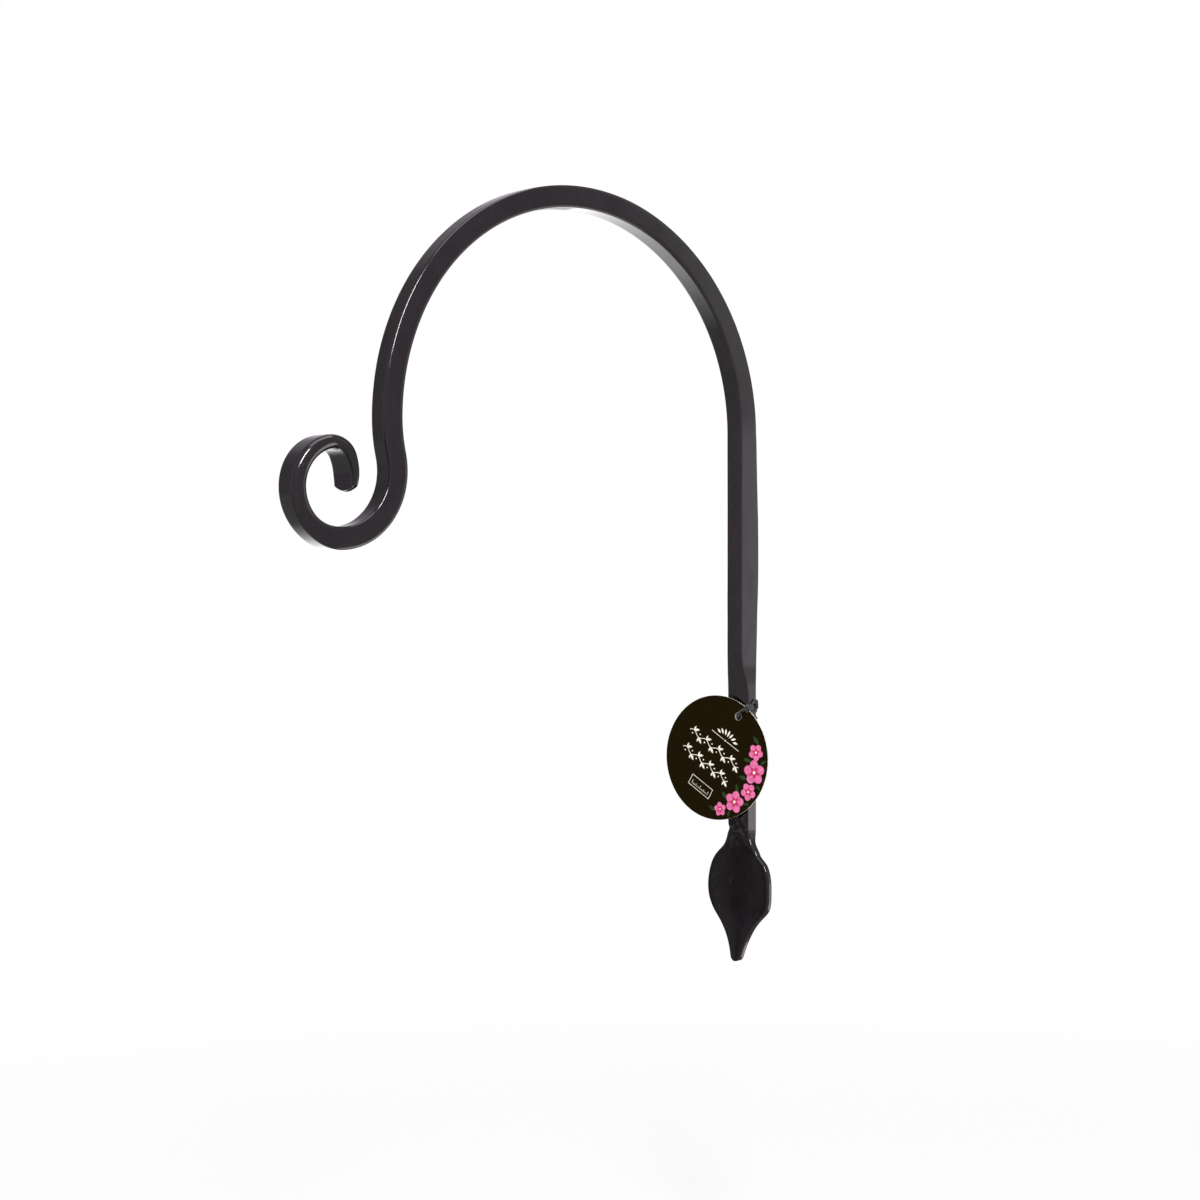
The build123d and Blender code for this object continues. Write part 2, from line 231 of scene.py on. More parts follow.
class BracketLeafSizes(bpy.types.PropertyGroup):
    """The leaf at the foot of the pad."""

    radius: FloatProperty(name="Radius", description="Radius of the leaf's round body", default=0.024, unit="LENGTH")
    height: FloatProperty(
        name="Height", description="Height of the middle of its body", default=-0.0689, unit="LENGTH",
    )
    neck: FloatProperty(name="Neck", description="Radius of the hollow above the body", default=0.0138, unit="LENGTH")
    tail: FloatProperty(name="Tail", description="Radius of the hollow below the body", default=0.048, unit="LENGTH")
    tip_radius: FloatProperty(
        name="Tip radius", description="Radius of the leaf's tip", default=0.0043, unit="LENGTH",
    )
    tip: FloatProperty(name="Tip", description="Height of the leaf's tip", default=-0.1106, unit="LENGTH")
    thickness: FloatProperty(name="Thickness", description="Thickness of the leaf", default=0.003, unit="LENGTH")
    set_back: FloatProperty(
        name="Set back", description="How far its back stands in front of the pad's back", default=0.0029,
        unit="LENGTH",
    )
    step: FloatProperty(name="Step", description="Length over which it steps forward", default=0.012, unit="LENGTH")
    curl_start: FloatProperty(
        name="Curl start", description="Height at which its tip starts to curl", default=-0.078, unit="LENGTH",
    )
    curl: FloatProperty(name="Curl", description="Radius of the curl", default=0.190, unit="LENGTH")
    edge: FloatProperty(name="Edge", description="Rounding of the leaf's edge", default=0.0006, unit="LENGTH")
    dish: FloatProperty(name="Dish", description="Depth of the dished body", default=0.0009, unit="LENGTH")
    shoulder: FloatProperty(
        name="Shoulder", description="Share by which the leaf is fuller at its lower right", default=0.10, min=0,
    )
    shoulder_height: FloatProperty(
        name="Shoulder height", description="Height of that fuller place", default=-0.0822, unit="LENGTH",
    )
    lean: FloatProperty(name="Lean", description="How far the tip leans to the right", default=0.0006, unit="LENGTH")
    nip: FloatProperty(
        name="Nip", description="Share by which the leaf is nipped in at its upper right", default=0.13, min=0,
    )
    nip_height: FloatProperty(
        name="Nip height", description="Height of that nipped place", default=-0.0525, unit="LENGTH",
    )
    notch: FloatProperty(
        name="Notch", description="Depth of the notch in the pad's edge above the leaf", default=0.0012,
        unit="LENGTH",
    )
    notch_height: FloatProperty(
        name="Notch height", description="Height of that notch", default=-0.0385, unit="LENGTH",
    )


class BracketTagSizes(bpy.types.PropertyGroup):
    """The round card tag."""

    radius: FloatProperty(name="Radius", description="Radius of the card", default=0.0341, unit="LENGTH")
    thickness: FloatProperty(name="Thickness", description="Thickness of the card", default=0.00055, unit="LENGTH")
    tilt: FloatProperty(
        name="Tilt", description="Turn of the card about the upright", default=math.radians(11.93), subtype="ANGLE",
    )
    reach: FloatProperty(
        name="Reach", description="From the pad's edge to the card's middle", default=0.01975, unit="LENGTH",
    )
    stand_off: FloatProperty(
        name="Stand-off", description="From the pad's edge to the card's back", default=0.00128, unit="LENGTH",
    )
    height: FloatProperty(name="Height", description="Height of the card's middle", default=0.0001, unit="LENGTH")
    hole: FloatProperty(name="Hole", description="Radius of the punched hole", default=0.002, unit="LENGTH")
    hole_across: FloatProperty(
        name="Hole across", description="Place of the hole across the card", default=0.0146, unit="LENGTH",
    )
    hole_up: FloatProperty(name="Hole up", description="Place of the hole up the card", default=0.023, unit="LENGTH")
    print_turn: FloatProperty(
        name="Print turn", description="Clockwise turn of the print", default=math.radians(32.0), subtype="ANGLE",
    )
    ink: FloatProperty(name="Ink", description="Thickness of a printed shape", default=0.00003, unit="LENGTH")
    ground_colour: FloatVectorProperty(
        name="Ground", description="Colour of the printed ground", subtype="COLOR", size=3,
        default=(0.0095, 0.0058, 0.0006), min=0, max=1,
    )
    cream_colour: FloatVectorProperty(
        name="Cream", description="Colour of the pale print", subtype="COLOR", size=3, default=(0.83, 0.79, 0.70),
        min=0, max=1,
    )
    pink_colour: FloatVectorProperty(
        name="Pink", description="Colour of the petals", subtype="COLOR", size=3, default=(0.66, 0.12, 0.31), min=0,
        max=1,
    )
    deep_colour: FloatVectorProperty(
        name="Deep pink", description="Colour of the inner petals", subtype="COLOR", size=3,
        default=(0.55, 0.03, 0.12), min=0, max=1,
    )
    leaf_colour: FloatVectorProperty(
        name="Green", description="Colour of the printed leaves", subtype="COLOR", size=3,
        default=(0.016, 0.045, 0.012), min=0, max=1,
    )


class BracketTieSizes(bpy.types.PropertyGroup):
    """The cord that ties the card to the pad."""

    radius: FloatProperty(name="Radius", description="Radius of the cord", default=0.00078, unit="LENGTH")
    twist: FloatProperty(name="Twist", description="Length of one turn of its strands", default=0.0026, unit="LENGTH")
    strands: IntProperty(name="Strands", description="Number of strands", default=2, min=2, max=4)
    colour: FloatVectorProperty(
        name="Colour", description="Colour of the cord", subtype="COLOR", size=3, default=(0.010, 0.0095, 0.010),
        min=0, max=1,
    )


class BracketStageSizes(bpy.types.PropertyGroup):
    """The camera, the floor and the light."""

    lens: FloatProperty(name="Lens", description="Focal length in millimetres", default=79.27)
    floor_height: FloatProperty(name="Floor", description="Height of the floor", default=-0.30, unit="LENGTH")
    world_light: FloatProperty(
        name="World light", description="Strength of the light from all round", default=0.34, min=0,
    )
    key_power: FloatProperty(name="Key", description="Power of the main lamp in watts", default=20.0, min=0)
    wall_level: FloatProperty(
        name="Walls", description="Strength of the grey walls in reflections", default=1.0, min=0,
    )
    dark_card: FloatProperty(
        name="Dark card", description="Level of the card before the leaf in reflections", default=0.28, min=0,
    )
    side_card: FloatProperty(
        name="Side card", description="Level of the card above the side lamp in reflections", default=1.15, min=0,
    )
    bright_strip: FloatProperty(
        name="Bright strip", description="Level of the strip beside the main lamp in reflections", default=22.0,
        min=0,
    )
    bright_card: FloatProperty(
        name="Bright card", description="Level of the card below at the right in reflections", default=5.0, min=0,
    )
    top_power: FloatProperty(name="Top", description="Power of the lamp above in watts", default=10.0, min=0)
    side_power: FloatProperty(name="Side", description="Power of the lamp at the right in watts", default=1.5, min=0)
    paint_colour: FloatVectorProperty(
        name="Paint", description="Colour of the black paint", subtype="COLOR", size=3,
        default=(0.0068, 0.0048, 0.0062), min=0, max=1,
    )


# Modelling help


def put_down():
    """Leaves nothing selected or in edit mode."""
    if bpy.context.mode != "OBJECT":
        bpy.ops.object.mode_set(mode="OBJECT")
    bpy.ops.object.select_all(action="DESELECT")


def only(piece):
    """Makes one piece the only one selected, and the active one."""
    put_down()
    piece.select_set(True)
    bpy.context.view_layer.objects.active = piece


def added(name):
    """The piece that was just added, under its own name."""
    piece = bpy.context.object
    piece.name = name
    piece.data.name = name
    return piece


def placed(name, data):
    """A new object in the scene from a curve, a camera or a lamp."""
    piece = bpy.data.objects.new(name, data)
    bpy.context.scene.collection.objects.link(piece)
    return piece


def coat(piece, *materials):
    """Gives a piece these materials in place of any that it had."""
    piece.data.materials.clear()
    for material in materials:
        piece.data.materials.append(material)


def apply_all(piece):
    """Applies every modifier of a piece in order."""
    only(piece)
    for modifier in list(piece.modifiers):
        bpy.ops.object.modifier_apply(modifier=modifier.name)


def rest_in_mesh(piece):
    """Moves a piece's place, turn and scale into its mesh."""
    only(piece)
    bpy.ops.object.transform_apply(location=True, rotation=True, scale=True)


def tidy_mesh(piece, merge=0.00001):
    """Merges doubled points and turns every face outwards."""
    only(piece)
    bpy.ops.object.mode_set(mode="EDIT")
    bpy.ops.mesh.select_all(action="SELECT")
    bpy.ops.mesh.remove_doubles(threshold=merge)
    bpy.ops.mesh.normals_make_consistent(inside=False)
    bpy.ops.object.mode_set(mode="OBJECT")


def join(pieces, name):
    """Joins pieces into the first one."""
    only(pieces[0])
    for piece in pieces[1:]:
        piece.select_set(True)
    bpy.ops.object.join()
    return added(name)


def finish_piece(piece, slot, *nodes):
    """Rides a piece on the bracket's body and hides the nodes it stands for."""
    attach(piece, "root")
    if nodes:
        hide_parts(*nodes)
    return piece


def cut(piece, tool):
    """Cuts a tool's shape out of a piece and removes the tool."""
    only(piece)
    modifier = piece.modifiers.new("Cut", "BOOLEAN")
    modifier.operation = "DIFFERENCE"
    modifier.solver = "EXACT"
    modifier.object = tool
    bpy.ops.object.modifier_apply(modifier=modifier.name)
    bpy.data.objects.remove(tool)


# Finishes


def new_material(name):
    """An empty node material and its main shader."""
    material = bpy.data.materials.new(name)
    material.use_nodes = True
    shader = material.node_tree.nodes["Principled BSDF"]
    return material, material.node_tree, shader


def own_place(tree):
    """The object's own coordinates."""
    return tree.nodes.new("ShaderNodeTexCoord").outputs["Object"]


def noise(tree, scale, detail=3.0, coordinates=None, distortion=0.0):
    """Noise on the object's own coordinates, or on those given."""
    if coordinates is None:
        coordinates = own_place(tree)
    node = tree.nodes.new("ShaderNodeTexNoise")
    node.inputs["Scale"].default_value = scale
    node.inputs["Detail"].default_value = detail
    node.inputs["Distortion"].default_value = distortion
    tree.links.new(coordinates, node.inputs["Vector"])
    return node.outputs["Fac"]


def stretched(tree, scale):
    """The object's own coordinates, stretched by a scale on each axis."""
    mapping = tree.nodes.new("ShaderNodeMapping")
    mapping.inputs["Scale"].default_value = scale
    tree.links.new(own_place(tree), mapping.inputs["Vector"])
    return mapping.outputs["Vector"]


def calculated(tree, operation, first, second):
    """One value from two, by a maths operation."""
    node = tree.nodes.new("ShaderNodeMath")
    node.operation = operation
    tree.links.new(first, node.inputs[0])
    tree.links.new(second, node.inputs[1])
    return node.outputs[0]


def mixed(tree, share, first, second):
    """Two shaders blended: the first at a share of 0, the second at 1."""
    node = tree.nodes.new("ShaderNodeMixShader")
    tree.links.new(share, node.inputs[0])
    tree.links.new(first, node.inputs[1])
    tree.links.new(second, node.inputs[2])
    return node.outputs[0]


def spread(tree, value, low, high, out_low, out_high):
    """A value taken from one range to another."""
    node = tree.nodes.new("ShaderNodeMapRange")
    tree.links.new(value, node.inputs["Value"])
    for name, number in (("From Min", low), ("From Max", high), ("To Min", out_low), ("To Max", out_high)):
        node.inputs[name].default_value = number
    return node.outputs["Result"]


def blend_colours(tree, factor, first, second):
    """Mixes two colours, each a plain colour or a socket."""
    node = tree.nodes.new("ShaderNodeMix")
    node.data_type = "RGBA"
    tree.links.new(factor, node.inputs["Factor"])
    for socket, colour in ((node.inputs["A"], first), (node.inputs["B"], second)):
        if isinstance(colour, bpy.types.NodeSocket):
            tree.links.new(colour, socket)
        else:
            socket.default_value = (*colour, 1.0)
    return node.outputs["Result"]


def bump(tree, height, distance, strength=1.0, onto=None):
    """A bump of a height, over another bump if there is one."""
    node = tree.nodes.new("ShaderNodeBump")
    node.inputs["Strength"].default_value = strength
    node.inputs["Distance"].default_value = distance
    tree.links.new(height, node.inputs["Height"])
    if onto is not None:
        tree.links.new(onto, node.inputs["Normal"])
    return node.outputs["Normal"]


def black_paint(colour):
    """Gloss black paint over hammered iron, a little thin and dusty on its edges."""
    material, tree, shader = new_material("black_paint")
    cloud = noise(tree, 90.0, 4.0)
    thin = tuple(c * 1.6 for c in colour)
    colour_here = blend_colours(tree, spread(tree, cloud, 0.35, 0.7, 0, 1), tuple(colour), thin)
    edge = tree.nodes.new("ShaderNodeNewGeometry").outputs["Pointiness"]
    worn = spread(tree, edge, 0.53, 0.60, 0.0, 0.35)
    colour_here = blend_colours(tree, worn, colour_here, (0.05, 0.047, 0.047))
    marks = noise(tree, 1.0, 4.0, stretched(tree, (900.0, 900.0, 190.0)), 0.4)
    where = noise(tree, 26.0, 1.0)
    marked, there = spread(tree, marks, 0.66, 0.72, 0.0, 0.4), spread(tree, where, 0.62, 0.70, 0.0, 1.0)
    scuff = calculated(tree, "MULTIPLY", marked, there)
    colour_here = blend_colours(tree, scuff, colour_here, (0.16, 0.15, 0.15))
    tree.links.new(colour_here, shader.inputs["Base Color"])
    rough = spread(tree, noise(tree, 220.0, 5.0), 0.3, 0.75, 0.10, 0.14)
    tree.links.new(rough, shader.inputs["Roughness"])
    shader.inputs["Specular IOR Level"].default_value = 0.42
    peel = bump(tree, noise(tree, 150.0, 2.0), 0.00006, 0.2)
    grain = bump(tree, noise(tree, 1500.0, 2.0), 0.00001, 0.12, peel)
    tree.links.new(grain, shader.inputs["Normal"])
    return material


def card(name, colour, roughness, spread_by=0.15, gloss=0.14):
    """Card or ink on card: a fine fibre in its colour, sheen and surface."""
    material, tree, shader = new_material(name)
    shader.inputs["Specular IOR Level"].default_value = gloss
    fibre = noise(tree, 2600.0, 4.0, distortion=0.6)
    low = tuple(c * (1 - spread_by) for c in colour)
    high = tuple(min(1.0, c * (1 + spread_by)) for c in colour)
    tree.links.new(blend_colours(tree, spread(tree, fibre, 0.3, 0.7, 0, 1), low, high), shader.inputs["Base Color"])
    sheen = spread(tree, noise(tree, 500.0, 4.0), 0.3, 0.7, roughness - 0.08, roughness + 0.08)
    tree.links.new(sheen, shader.inputs["Roughness"])
    tree.links.new(bump(tree, fibre, 0.00002, 0.6), shader.inputs["Normal"])
    return material


def petal_ink(tag):
    """Pink ink that runs from pale to deep in small patches, as a printed blossom does."""
    material, tree, shader = new_material("tag_ink_petal")
    shader.inputs["Specular IOR Level"].default_value = 0.2
    shader.inputs["Roughness"].default_value = 0.45
    patch = spread(tree, noise(tree, 700.0, 3.0, distortion=0.8), 0.36, 0.64, 0.0, 1.0)
    pale = tuple(min(1.0, c * 1.12 + 0.08) for c in tag.pink_colour)
    pink = blend_colours(tree, patch, tuple(tag.pink_colour), pale)
    streak = spread(tree, noise(tree, 1900.0, 3.0), 0.52, 0.7, 0.0, 0.55)
    tree.links.new(blend_colours(tree, streak, pink, tuple(tag.deep_colour)), shader.inputs["Base Color"])
    tree.links.new(bump(tree, streak, 0.00001, 0.5), shader.inputs["Normal"])
    return material


def twisted_cord(colour):
    """Matt black twisted fibre."""
    material, tree, shader = new_material("tie_cord")
    fibre = noise(tree, 3500.0, 5.0, distortion=1.0)
    pale = tuple(c * 3 for c in colour)
    fibre_colour = blend_colours(tree, spread(tree, fibre, 0.3, 0.7, 0, 1), tuple(colour), pale)
    tree.links.new(fibre_colour, shader.inputs["Base Color"])
    tree.links.new(spread(tree, fibre, 0.3, 0.7, 0.7, 0.95), shader.inputs["Roughness"])
    shader.inputs["Sheen Weight"].default_value = 0.25
    tree.links.new(bump(tree, fibre, 0.00006, 0.8), shader.inputs["Normal"])
    return material


# The forged bar


def centreline_runs(bar):
    """The bends of the centreline from the leg's top to the scroll's tip, as radius and turn."""
    entry, front, top = bar.scroll_radii
    curl, tip = bar.curl_radii
    turns = [math.radians(turn) for turn in bar.curl_turns]
    return [
        (bar.arch_radius, math.pi),
        (bar.throat_radius, bar.throat_turn),
        (entry, -(math.pi / 2 + bar.throat_turn)),
        (front, -math.pi / 2),
        (top, -turns[0]),
        (curl, -turns[1]),
        (tip, -turns[2]),
    ]


def draw_centreline(bar, pad, leaf):
    """The centreline as a flat curve: up from the leaf's tip, and on by spinning its end through each bend."""
    put_down()
    start = Vector((pad.inset - bar.side / 2, leaf.tip, 0))
    bpy.ops.mesh.primitive_plane_add(size=0.001, location=(0, 0, 0))
    line = added("centreline")
    bpy.ops.object.mode_set(mode="EDIT")
    bpy.ops.mesh.select_mode(type="VERT")
    bpy.ops.mesh.select_all(action="SELECT")
    bpy.ops.mesh.merge(type="CENTER")
    bpy.ops.transform.translate(value=start)
    bpy.ops.mesh.extrude_region_move(TRANSFORM_OT_translate={"value": (0, bar.arch_height - leaf.tip, 0)})
    place = Vector((start.x, bar.arch_height, 0))
    heading = math.pi / 2
    for radius, turn in centreline_runs(bar):
        side = math.copysign(1, turn)
        centre = place + side * radius * Vector((-math.sin(heading), math.cos(heading), 0))
        steps = max(24, round(abs(turn) * 180))
        bpy.ops.mesh.spin(steps=steps, angle=-turn, center=centre, axis=(0, 0, 1))
        heading += turn
        place = centre - side * radius * Vector((-math.sin(heading), math.cos(heading), 0))
    bpy.ops.object.mode_set(mode="OBJECT")
    end = min((v.co for v in line.data.vertices), key=lambda co: (co - place).length)
    if (end - place).length > 0.0002:
        raise RuntimeError("the centreline was spun the wrong way")
    bpy.ops.object.convert(target="CURVE")
    line.data.twist_mode = "Z_UP"
    return line


def neck_height(leaf, pad):
    """Where the pad ends and the leaf's neck starts."""
    across = pad.width / 2 + leaf.neck
    return leaf.height + math.sqrt((leaf.radius + leaf.neck) ** 2 - across**2)


def leaf_half_width(leaf, pad, z):
    """Half the leaf's width at a height: hollow neck, round body, hollow tail and round tip."""
    across = pad.width / 2 + leaf.neck
    neck_z = neck_height(leaf, pad)
    tip_z = leaf.tip + leaf.tip_radius
    gap = leaf.height - tip_z
    to_body = leaf.radius + leaf.tail
    to_tip = leaf.tip_radius + leaf.tail
    drop = (to_body**2 - to_tip**2 + gap**2) / (2 * gap)
    tail_x = math.sqrt(to_body**2 - drop**2)
    tail_z = leaf.height - drop
    neck_end = leaf.height + (neck_z - leaf.height) * leaf.radius / (leaf.radius + leaf.neck)
    body_end = leaf.height + (tail_z - leaf.height) * leaf.radius / to_body
    tail_end = tip_z + (tail_z - tip_z) * leaf.tip_radius / to_tip
    if z >= neck_z:
        return pad.width / 2
    if z >= neck_end:
        return across - math.sqrt(leaf.neck**2 - (z - neck_z) ** 2)
    if z >= body_end:
        return math.sqrt(leaf.radius**2 - (z - leaf.height) ** 2)
    if z >= tail_end:
        return tail_x - math.sqrt(leaf.tail**2 - (z - tail_z) ** 2)
    return math.sqrt(max(leaf.tip_radius**2 - (z - tip_z) ** 2, 0.0))


def ease(share):
    """The share of an S-bend's shift at a share of its length."""
    share = min(max(share, 0.0), 1.0)
    return 2 * share**2 if share < 0.5 else 1 - 2 * (1 - share) ** 2


def swell(place, middle, reach):
    """A soft hump: 1 at its middle, and falling off over its reach on either side."""
    return math.exp(-(((place - middle) / reach) ** 2))


def straight_station(bar, pad, leaf, z):
    """Below the arch: front and back of the bar (as X), half its width and its edge at a height."""
    neck = neck_height(leaf, pad)
    back_leg, front_leg = pad.inset, pad.inset - bar.side
    if z >= neck:
        share = ease((pad.shoulder - z) / pad.spread)
        bow = bar.bow * swell(z, BOW_HEIGHT, BOW_LENGTH)
        front = front_leg + (-pad.thickness - front_leg) * share - bar.full
        back = (back_leg + bar.full + bow) * (1 - share)
        half = bar.side / 2 + (pad.width - bar.side) / 2 * share + bar.full
        return front, back, half, bar.edge
    share = ease((neck - z) / leaf.step)
    back = -leaf.set_back * share
    front = -pad.thickness - bar.full + (-leaf.set_back - leaf.thickness + pad.thickness) * share
    below = max(leaf.curl_start - z, 0.0)
    curl = leaf.curl - math.sqrt(leaf.curl**2 - below**2)
    half = leaf_half_width(leaf, pad, z) + bar.full * ease((z - leaf.tip) / FULL_LENGTH)
    edge = min(bar.edge + (leaf.edge - bar.edge) * share, 0.24 * (back - front), 0.25 * max(half, 0.0004))
    return front - curl, back - curl, max(half, 0.0005), edge


def tail_station(bar, share_front, share_top):
    """Along the fishtail: thickness and width. The shares run from 0 to 1 over its front and the rest."""
    whole = (bar.side + 2 * bar.full) / MM
    keys = ((0.0, whole, whole), *TAIL_SIZES)
    at = share_front + share_top
    for (a, thick_a, wide_a), (b, thick_b, wide_b) in zip(keys, keys[1:]):
        if at <= b:
            share = (at - a) / (b - a)
            share = share * share * (3 - 2 * share) * 0.5 + share * 0.5
            return (thick_a + (thick_b - thick_a) * share) * MM, (wide_a + (wide_b - wide_a) * share) * MM
    return keys[-1][1] * MM, keys[-1][2] * MM


def stations(bar, pad, leaf):
    """Every ring of the straight bar, and its length.

    A ring has its place along the bar, offset, thickness, width, the edges on its two sides and its height on
    the leg, which is None beyond it."""
    runs = centreline_runs(bar)
    lengths = [radius * abs(turn) for radius, turn in runs]
    leg = bar.arch_height - leaf.tip
    rings = []
    heights = []
    z = leaf.tip + TIP_GAP
    while z < bar.arch_height - ARCH_GAP:
        heights.append(z)
        near_tip = (z - leaf.tip) / FINE_LENGTH
        z += bar.ring_step * min(1.0, 0.14 + 0.6 * near_tip) * (0.5 if z < pad.screw_spacing * -0.3 else 1.0)
    for z in heights:
        front, back, half, edge = straight_station(bar, pad, leaf, z)
        offset = (pad.inset - bar.side / 2) - (front + back) / 2
        near = LEG_EDGE + (LEAF_EDGE - LEG_EDGE) * ease((neck_height(leaf, pad) - z) / leaf.step)
        rings.append((z - leaf.tip, offset, back - front, 2 * half, (near * edge, edge), z))
    total = sum(lengths)
    plain = sum(lengths[:3])
    front_end = plain + lengths[3]
    count = round(total / bar.ring_step)
    for i in range(count + 1):
        at = total * i / count
        thick, wide, edge = bar.side + 2 * bar.full, bar.side + 2 * bar.full, bar.edge
        if at > plain:
            share_front = min((at - plain) / lengths[3], 1.0)
            share_rest = max(at - front_end, 0.0) / (total - front_end)
            thick, wide = tail_station(bar, share_front, share_rest)
            edge += (0.40 * thick - edge) * min(1.0, (share_front + share_rest) / 1.9) ** 2
        near = edge * (LEG_EDGE + (NEAR_EDGE - LEG_EDGE) * min(1.0, 1.2 * at / lengths[0]))
        rings.append((leg + at, 0.0, thick, wide, (near, edge), None))
    return rings, leg + total


def section(thick, wide, edges):
    """The points round one section, as offset in the bend's plane and offset across it.

    Edges are the roundings on the two sides across the bend, the side of the viewer first."""
    near, far = (min(edge, 0.46 * thick, 0.46 * wide) for edge in edges)
    corners = [
        (thick / 2 - near, wide / 2 - near, 0, near),
        (near - thick / 2, wide / 2 - near, 90, near),
        (far - thick / 2, far - wide / 2, 180, far),
        (thick / 2 - far, far - wide / 2, 270, far),
    ]
    runs = [NARROW_RUNS, WIDE_RUNS, NARROW_RUNS, WIDE_RUNS]
    loop = []
    for i, (middle_n, middle_w, start, edge) in enumerate(corners):
        for k in range(EDGE_RUNS + 1):
            turn = math.radians(start + 90 * k / EDGE_RUNS)
            loop.append((middle_n + edge * math.cos(turn), middle_w + edge * math.sin(turn)))
        turn = math.radians(start + 90)
        here = loop[-1]
        after = corners[(i + 1) % 4]
        there = (after[0] + after[3] * math.cos(turn), after[1] + after[3] * math.sin(turn))
        for k in range(1, runs[i]):
            share = k / runs[i]
            loop.append((here[0] + (there[0] - here[0]) * share, here[1] + (there[1] - here[1]) * share))
    return loop


def forge_straight(bar, pad, leaf):
    """The straight blank: a round rim drawn out ring by ring, then hammered to the section at each ring."""
    rings, total = stations(bar, pad, leaf)
    put_down()
    bpy.ops.mesh.primitive_circle_add(
        vertices=SECTION_POINTS, radius=0.004, rotation=(0, math.pi / 2, 0), location=(rings[0][0], 0, 0)
    )
    blank = added("hanger_bar_forged")
    rest_in_mesh(blank)
    bpy.ops.object.mode_set(mode="EDIT")
    bpy.ops.mesh.select_all(action="SELECT")
    for here, there in zip(rings, rings[1:]):
        bpy.ops.mesh.extrude_region_move(TRANSFORM_OT_translate={"value": (there[0] - here[0], 0, 0)})
    bpy.ops.object.mode_set(mode="OBJECT")
    places = [ring[0] for ring in rings]
    loops = [section(thick, wide, edges) for _, _, thick, wide, edges, _ in rings]
    for vertex in blank.data.vertices:
        k = min(range(len(places)), key=lambda i: abs(places[i] - vertex.co.x))
        j = round(math.atan2(vertex.co.z, vertex.co.y) / (2 * math.pi) * SECTION_POINTS) % SECTION_POINTS
        offset_n, offset_w = loops[k][j]
        vertex.co = shaped(bar, leaf, pad, rings[k], total, offset_n, offset_w)
    bpy.ops.object.mode_set(mode="EDIT")
    bpy.ops.mesh.select_all(action="DESELECT")
    bpy.ops.mesh.select_mode(type="EDGE")
    bpy.ops.mesh.select_non_manifold()
    bpy.ops.mesh.fill_holes(sides=0)
    bpy.ops.mesh.select_all(action="SELECT")
    bpy.ops.mesh.normals_make_consistent(inside=False)
    bpy.ops.object.mode_set(mode="OBJECT")
    return blank


def shaped(bar, leaf, pad, ring, total, offset_n, offset_w):
    """One point of the straight blank, with the leaf's dish, nips and shoulder and the fishtail's rounded end."""
    along, middle, _, wide, _, z = ring
    across = middle + offset_n
    if z is not None and z < neck_height(leaf, pad):
        share = ease((neck_height(leaf, pad) - z) / (2 * leaf.step))
        body = min(wide / (2 * leaf.radius), 1.0)
        outward = min(abs(offset_w) / max(wide / 2, 1e-6), 1.0)
        across += leaf.dish * share * body * (outward**2 - 0.5)
        offset_w += leaf.lean * max((leaf.curl_start - z) / (leaf.curl_start - leaf.tip), 0.0)
        if offset_w < 0:
            left = 1
            for nip, height, reach in LEFT_NIPS:
                left -= nip * swell(z, height, reach)
            offset_w *= left
        else:
            offset_w *= 1 + leaf.shoulder * swell(z, leaf.shoulder_height, SHOULDER_REACH)
            offset_w *= 1 - leaf.nip * swell(z, leaf.nip_height, NIP_REACH)
    if z is not None and offset_w < 0:
        offset_w += leaf.notch * swell(z, leaf.notch_height, NOTCH_REACH) * min(1.0, -offset_w / NOTCH_DEPTH)
    end = total - along
    if end < TAIL_END_LENGTH:
        reach = bar.tail_end
        back = reach - math.sqrt(max(reach**2 - offset_w**2, 0.0))
        along -= back * (1 - end / TAIL_END_LENGTH)
    return (along, across, offset_w)


def bend_to_line(blank, line):
    """Bends the straight blank along the centreline and stands it up in the bracket's frame."""
    only(blank)
    soften = blank.modifiers.new("Soften", "SUBSURF")
    soften.levels = 1
    soften.render_levels = 1
    bend = blank.modifiers.new("Bend", "CURVE")
    bend.object = line
    bend.deform_axis = "POS_X"
    apply_all(blank)
    bpy.data.objects.remove(line)
    blank.rotation_euler = (math.pi / 2, 0, 0)
    rest_in_mesh(blank)


def hammer(blank, bar, pad):
    """Hammer marks: a soft unevenness, faint on the leaf, dents on the leg and rough scale on the neck's front.

    Groups are called by name, because applying a modifier makes new ones."""
    rod = blank.vertex_groups.new(name="rod")
    below = blank.vertex_groups.new(name="leg")
    neck = blank.vertex_groups.new(name="neck")
    limit = -NEAR_WALL * bar.side
    for vertex in blank.data.vertices:
        height = vertex.co.z
        rod.add([vertex.index], 1.0 if height > LEAF_TOP or vertex.co.x < limit else LEAF_WAVES, "REPLACE")
        if vertex.co.x > limit:
            dented = min(max((bar.arch_height - height) / DENTS_FADE, 0.0), 1.0) * (height > DENTS_FROM)
            below.add([vertex.index], dented, "REPLACE")
        rough = swell(height, -pad.neck_height, NECK_REACH)
        if rough > 0.02 and vertex.co.x > limit and vertex.normal.x < -0.8:
            neck.add([vertex.index], rough, "REPLACE")
    for kind, size, depth, group in (
        ("CLOUDS", 0.030, bar.waves, "rod"),
        ("VORONOI", bar.dent_size, bar.dent, "leg"),
        ("CLOUDS", 0.0030, bar.scale, "neck"),
    ):
        texture = bpy.data.textures.new("hammer_marks", kind)
        texture.noise_scale = size
        if kind == "VORONOI":
            texture.distance_metric = "DISTANCE_SQUARED"
        marks = blank.modifiers.new("Marks", "DISPLACE")
        marks.texture = texture
        marks.texture_coords = "LOCAL"
        marks.mid_level = 0.6 if kind == "VORONOI" else 0.5
        marks.strength = depth
        marks.vertex_group = group
        apply_all(blank)
        bpy.data.textures.remove(texture)


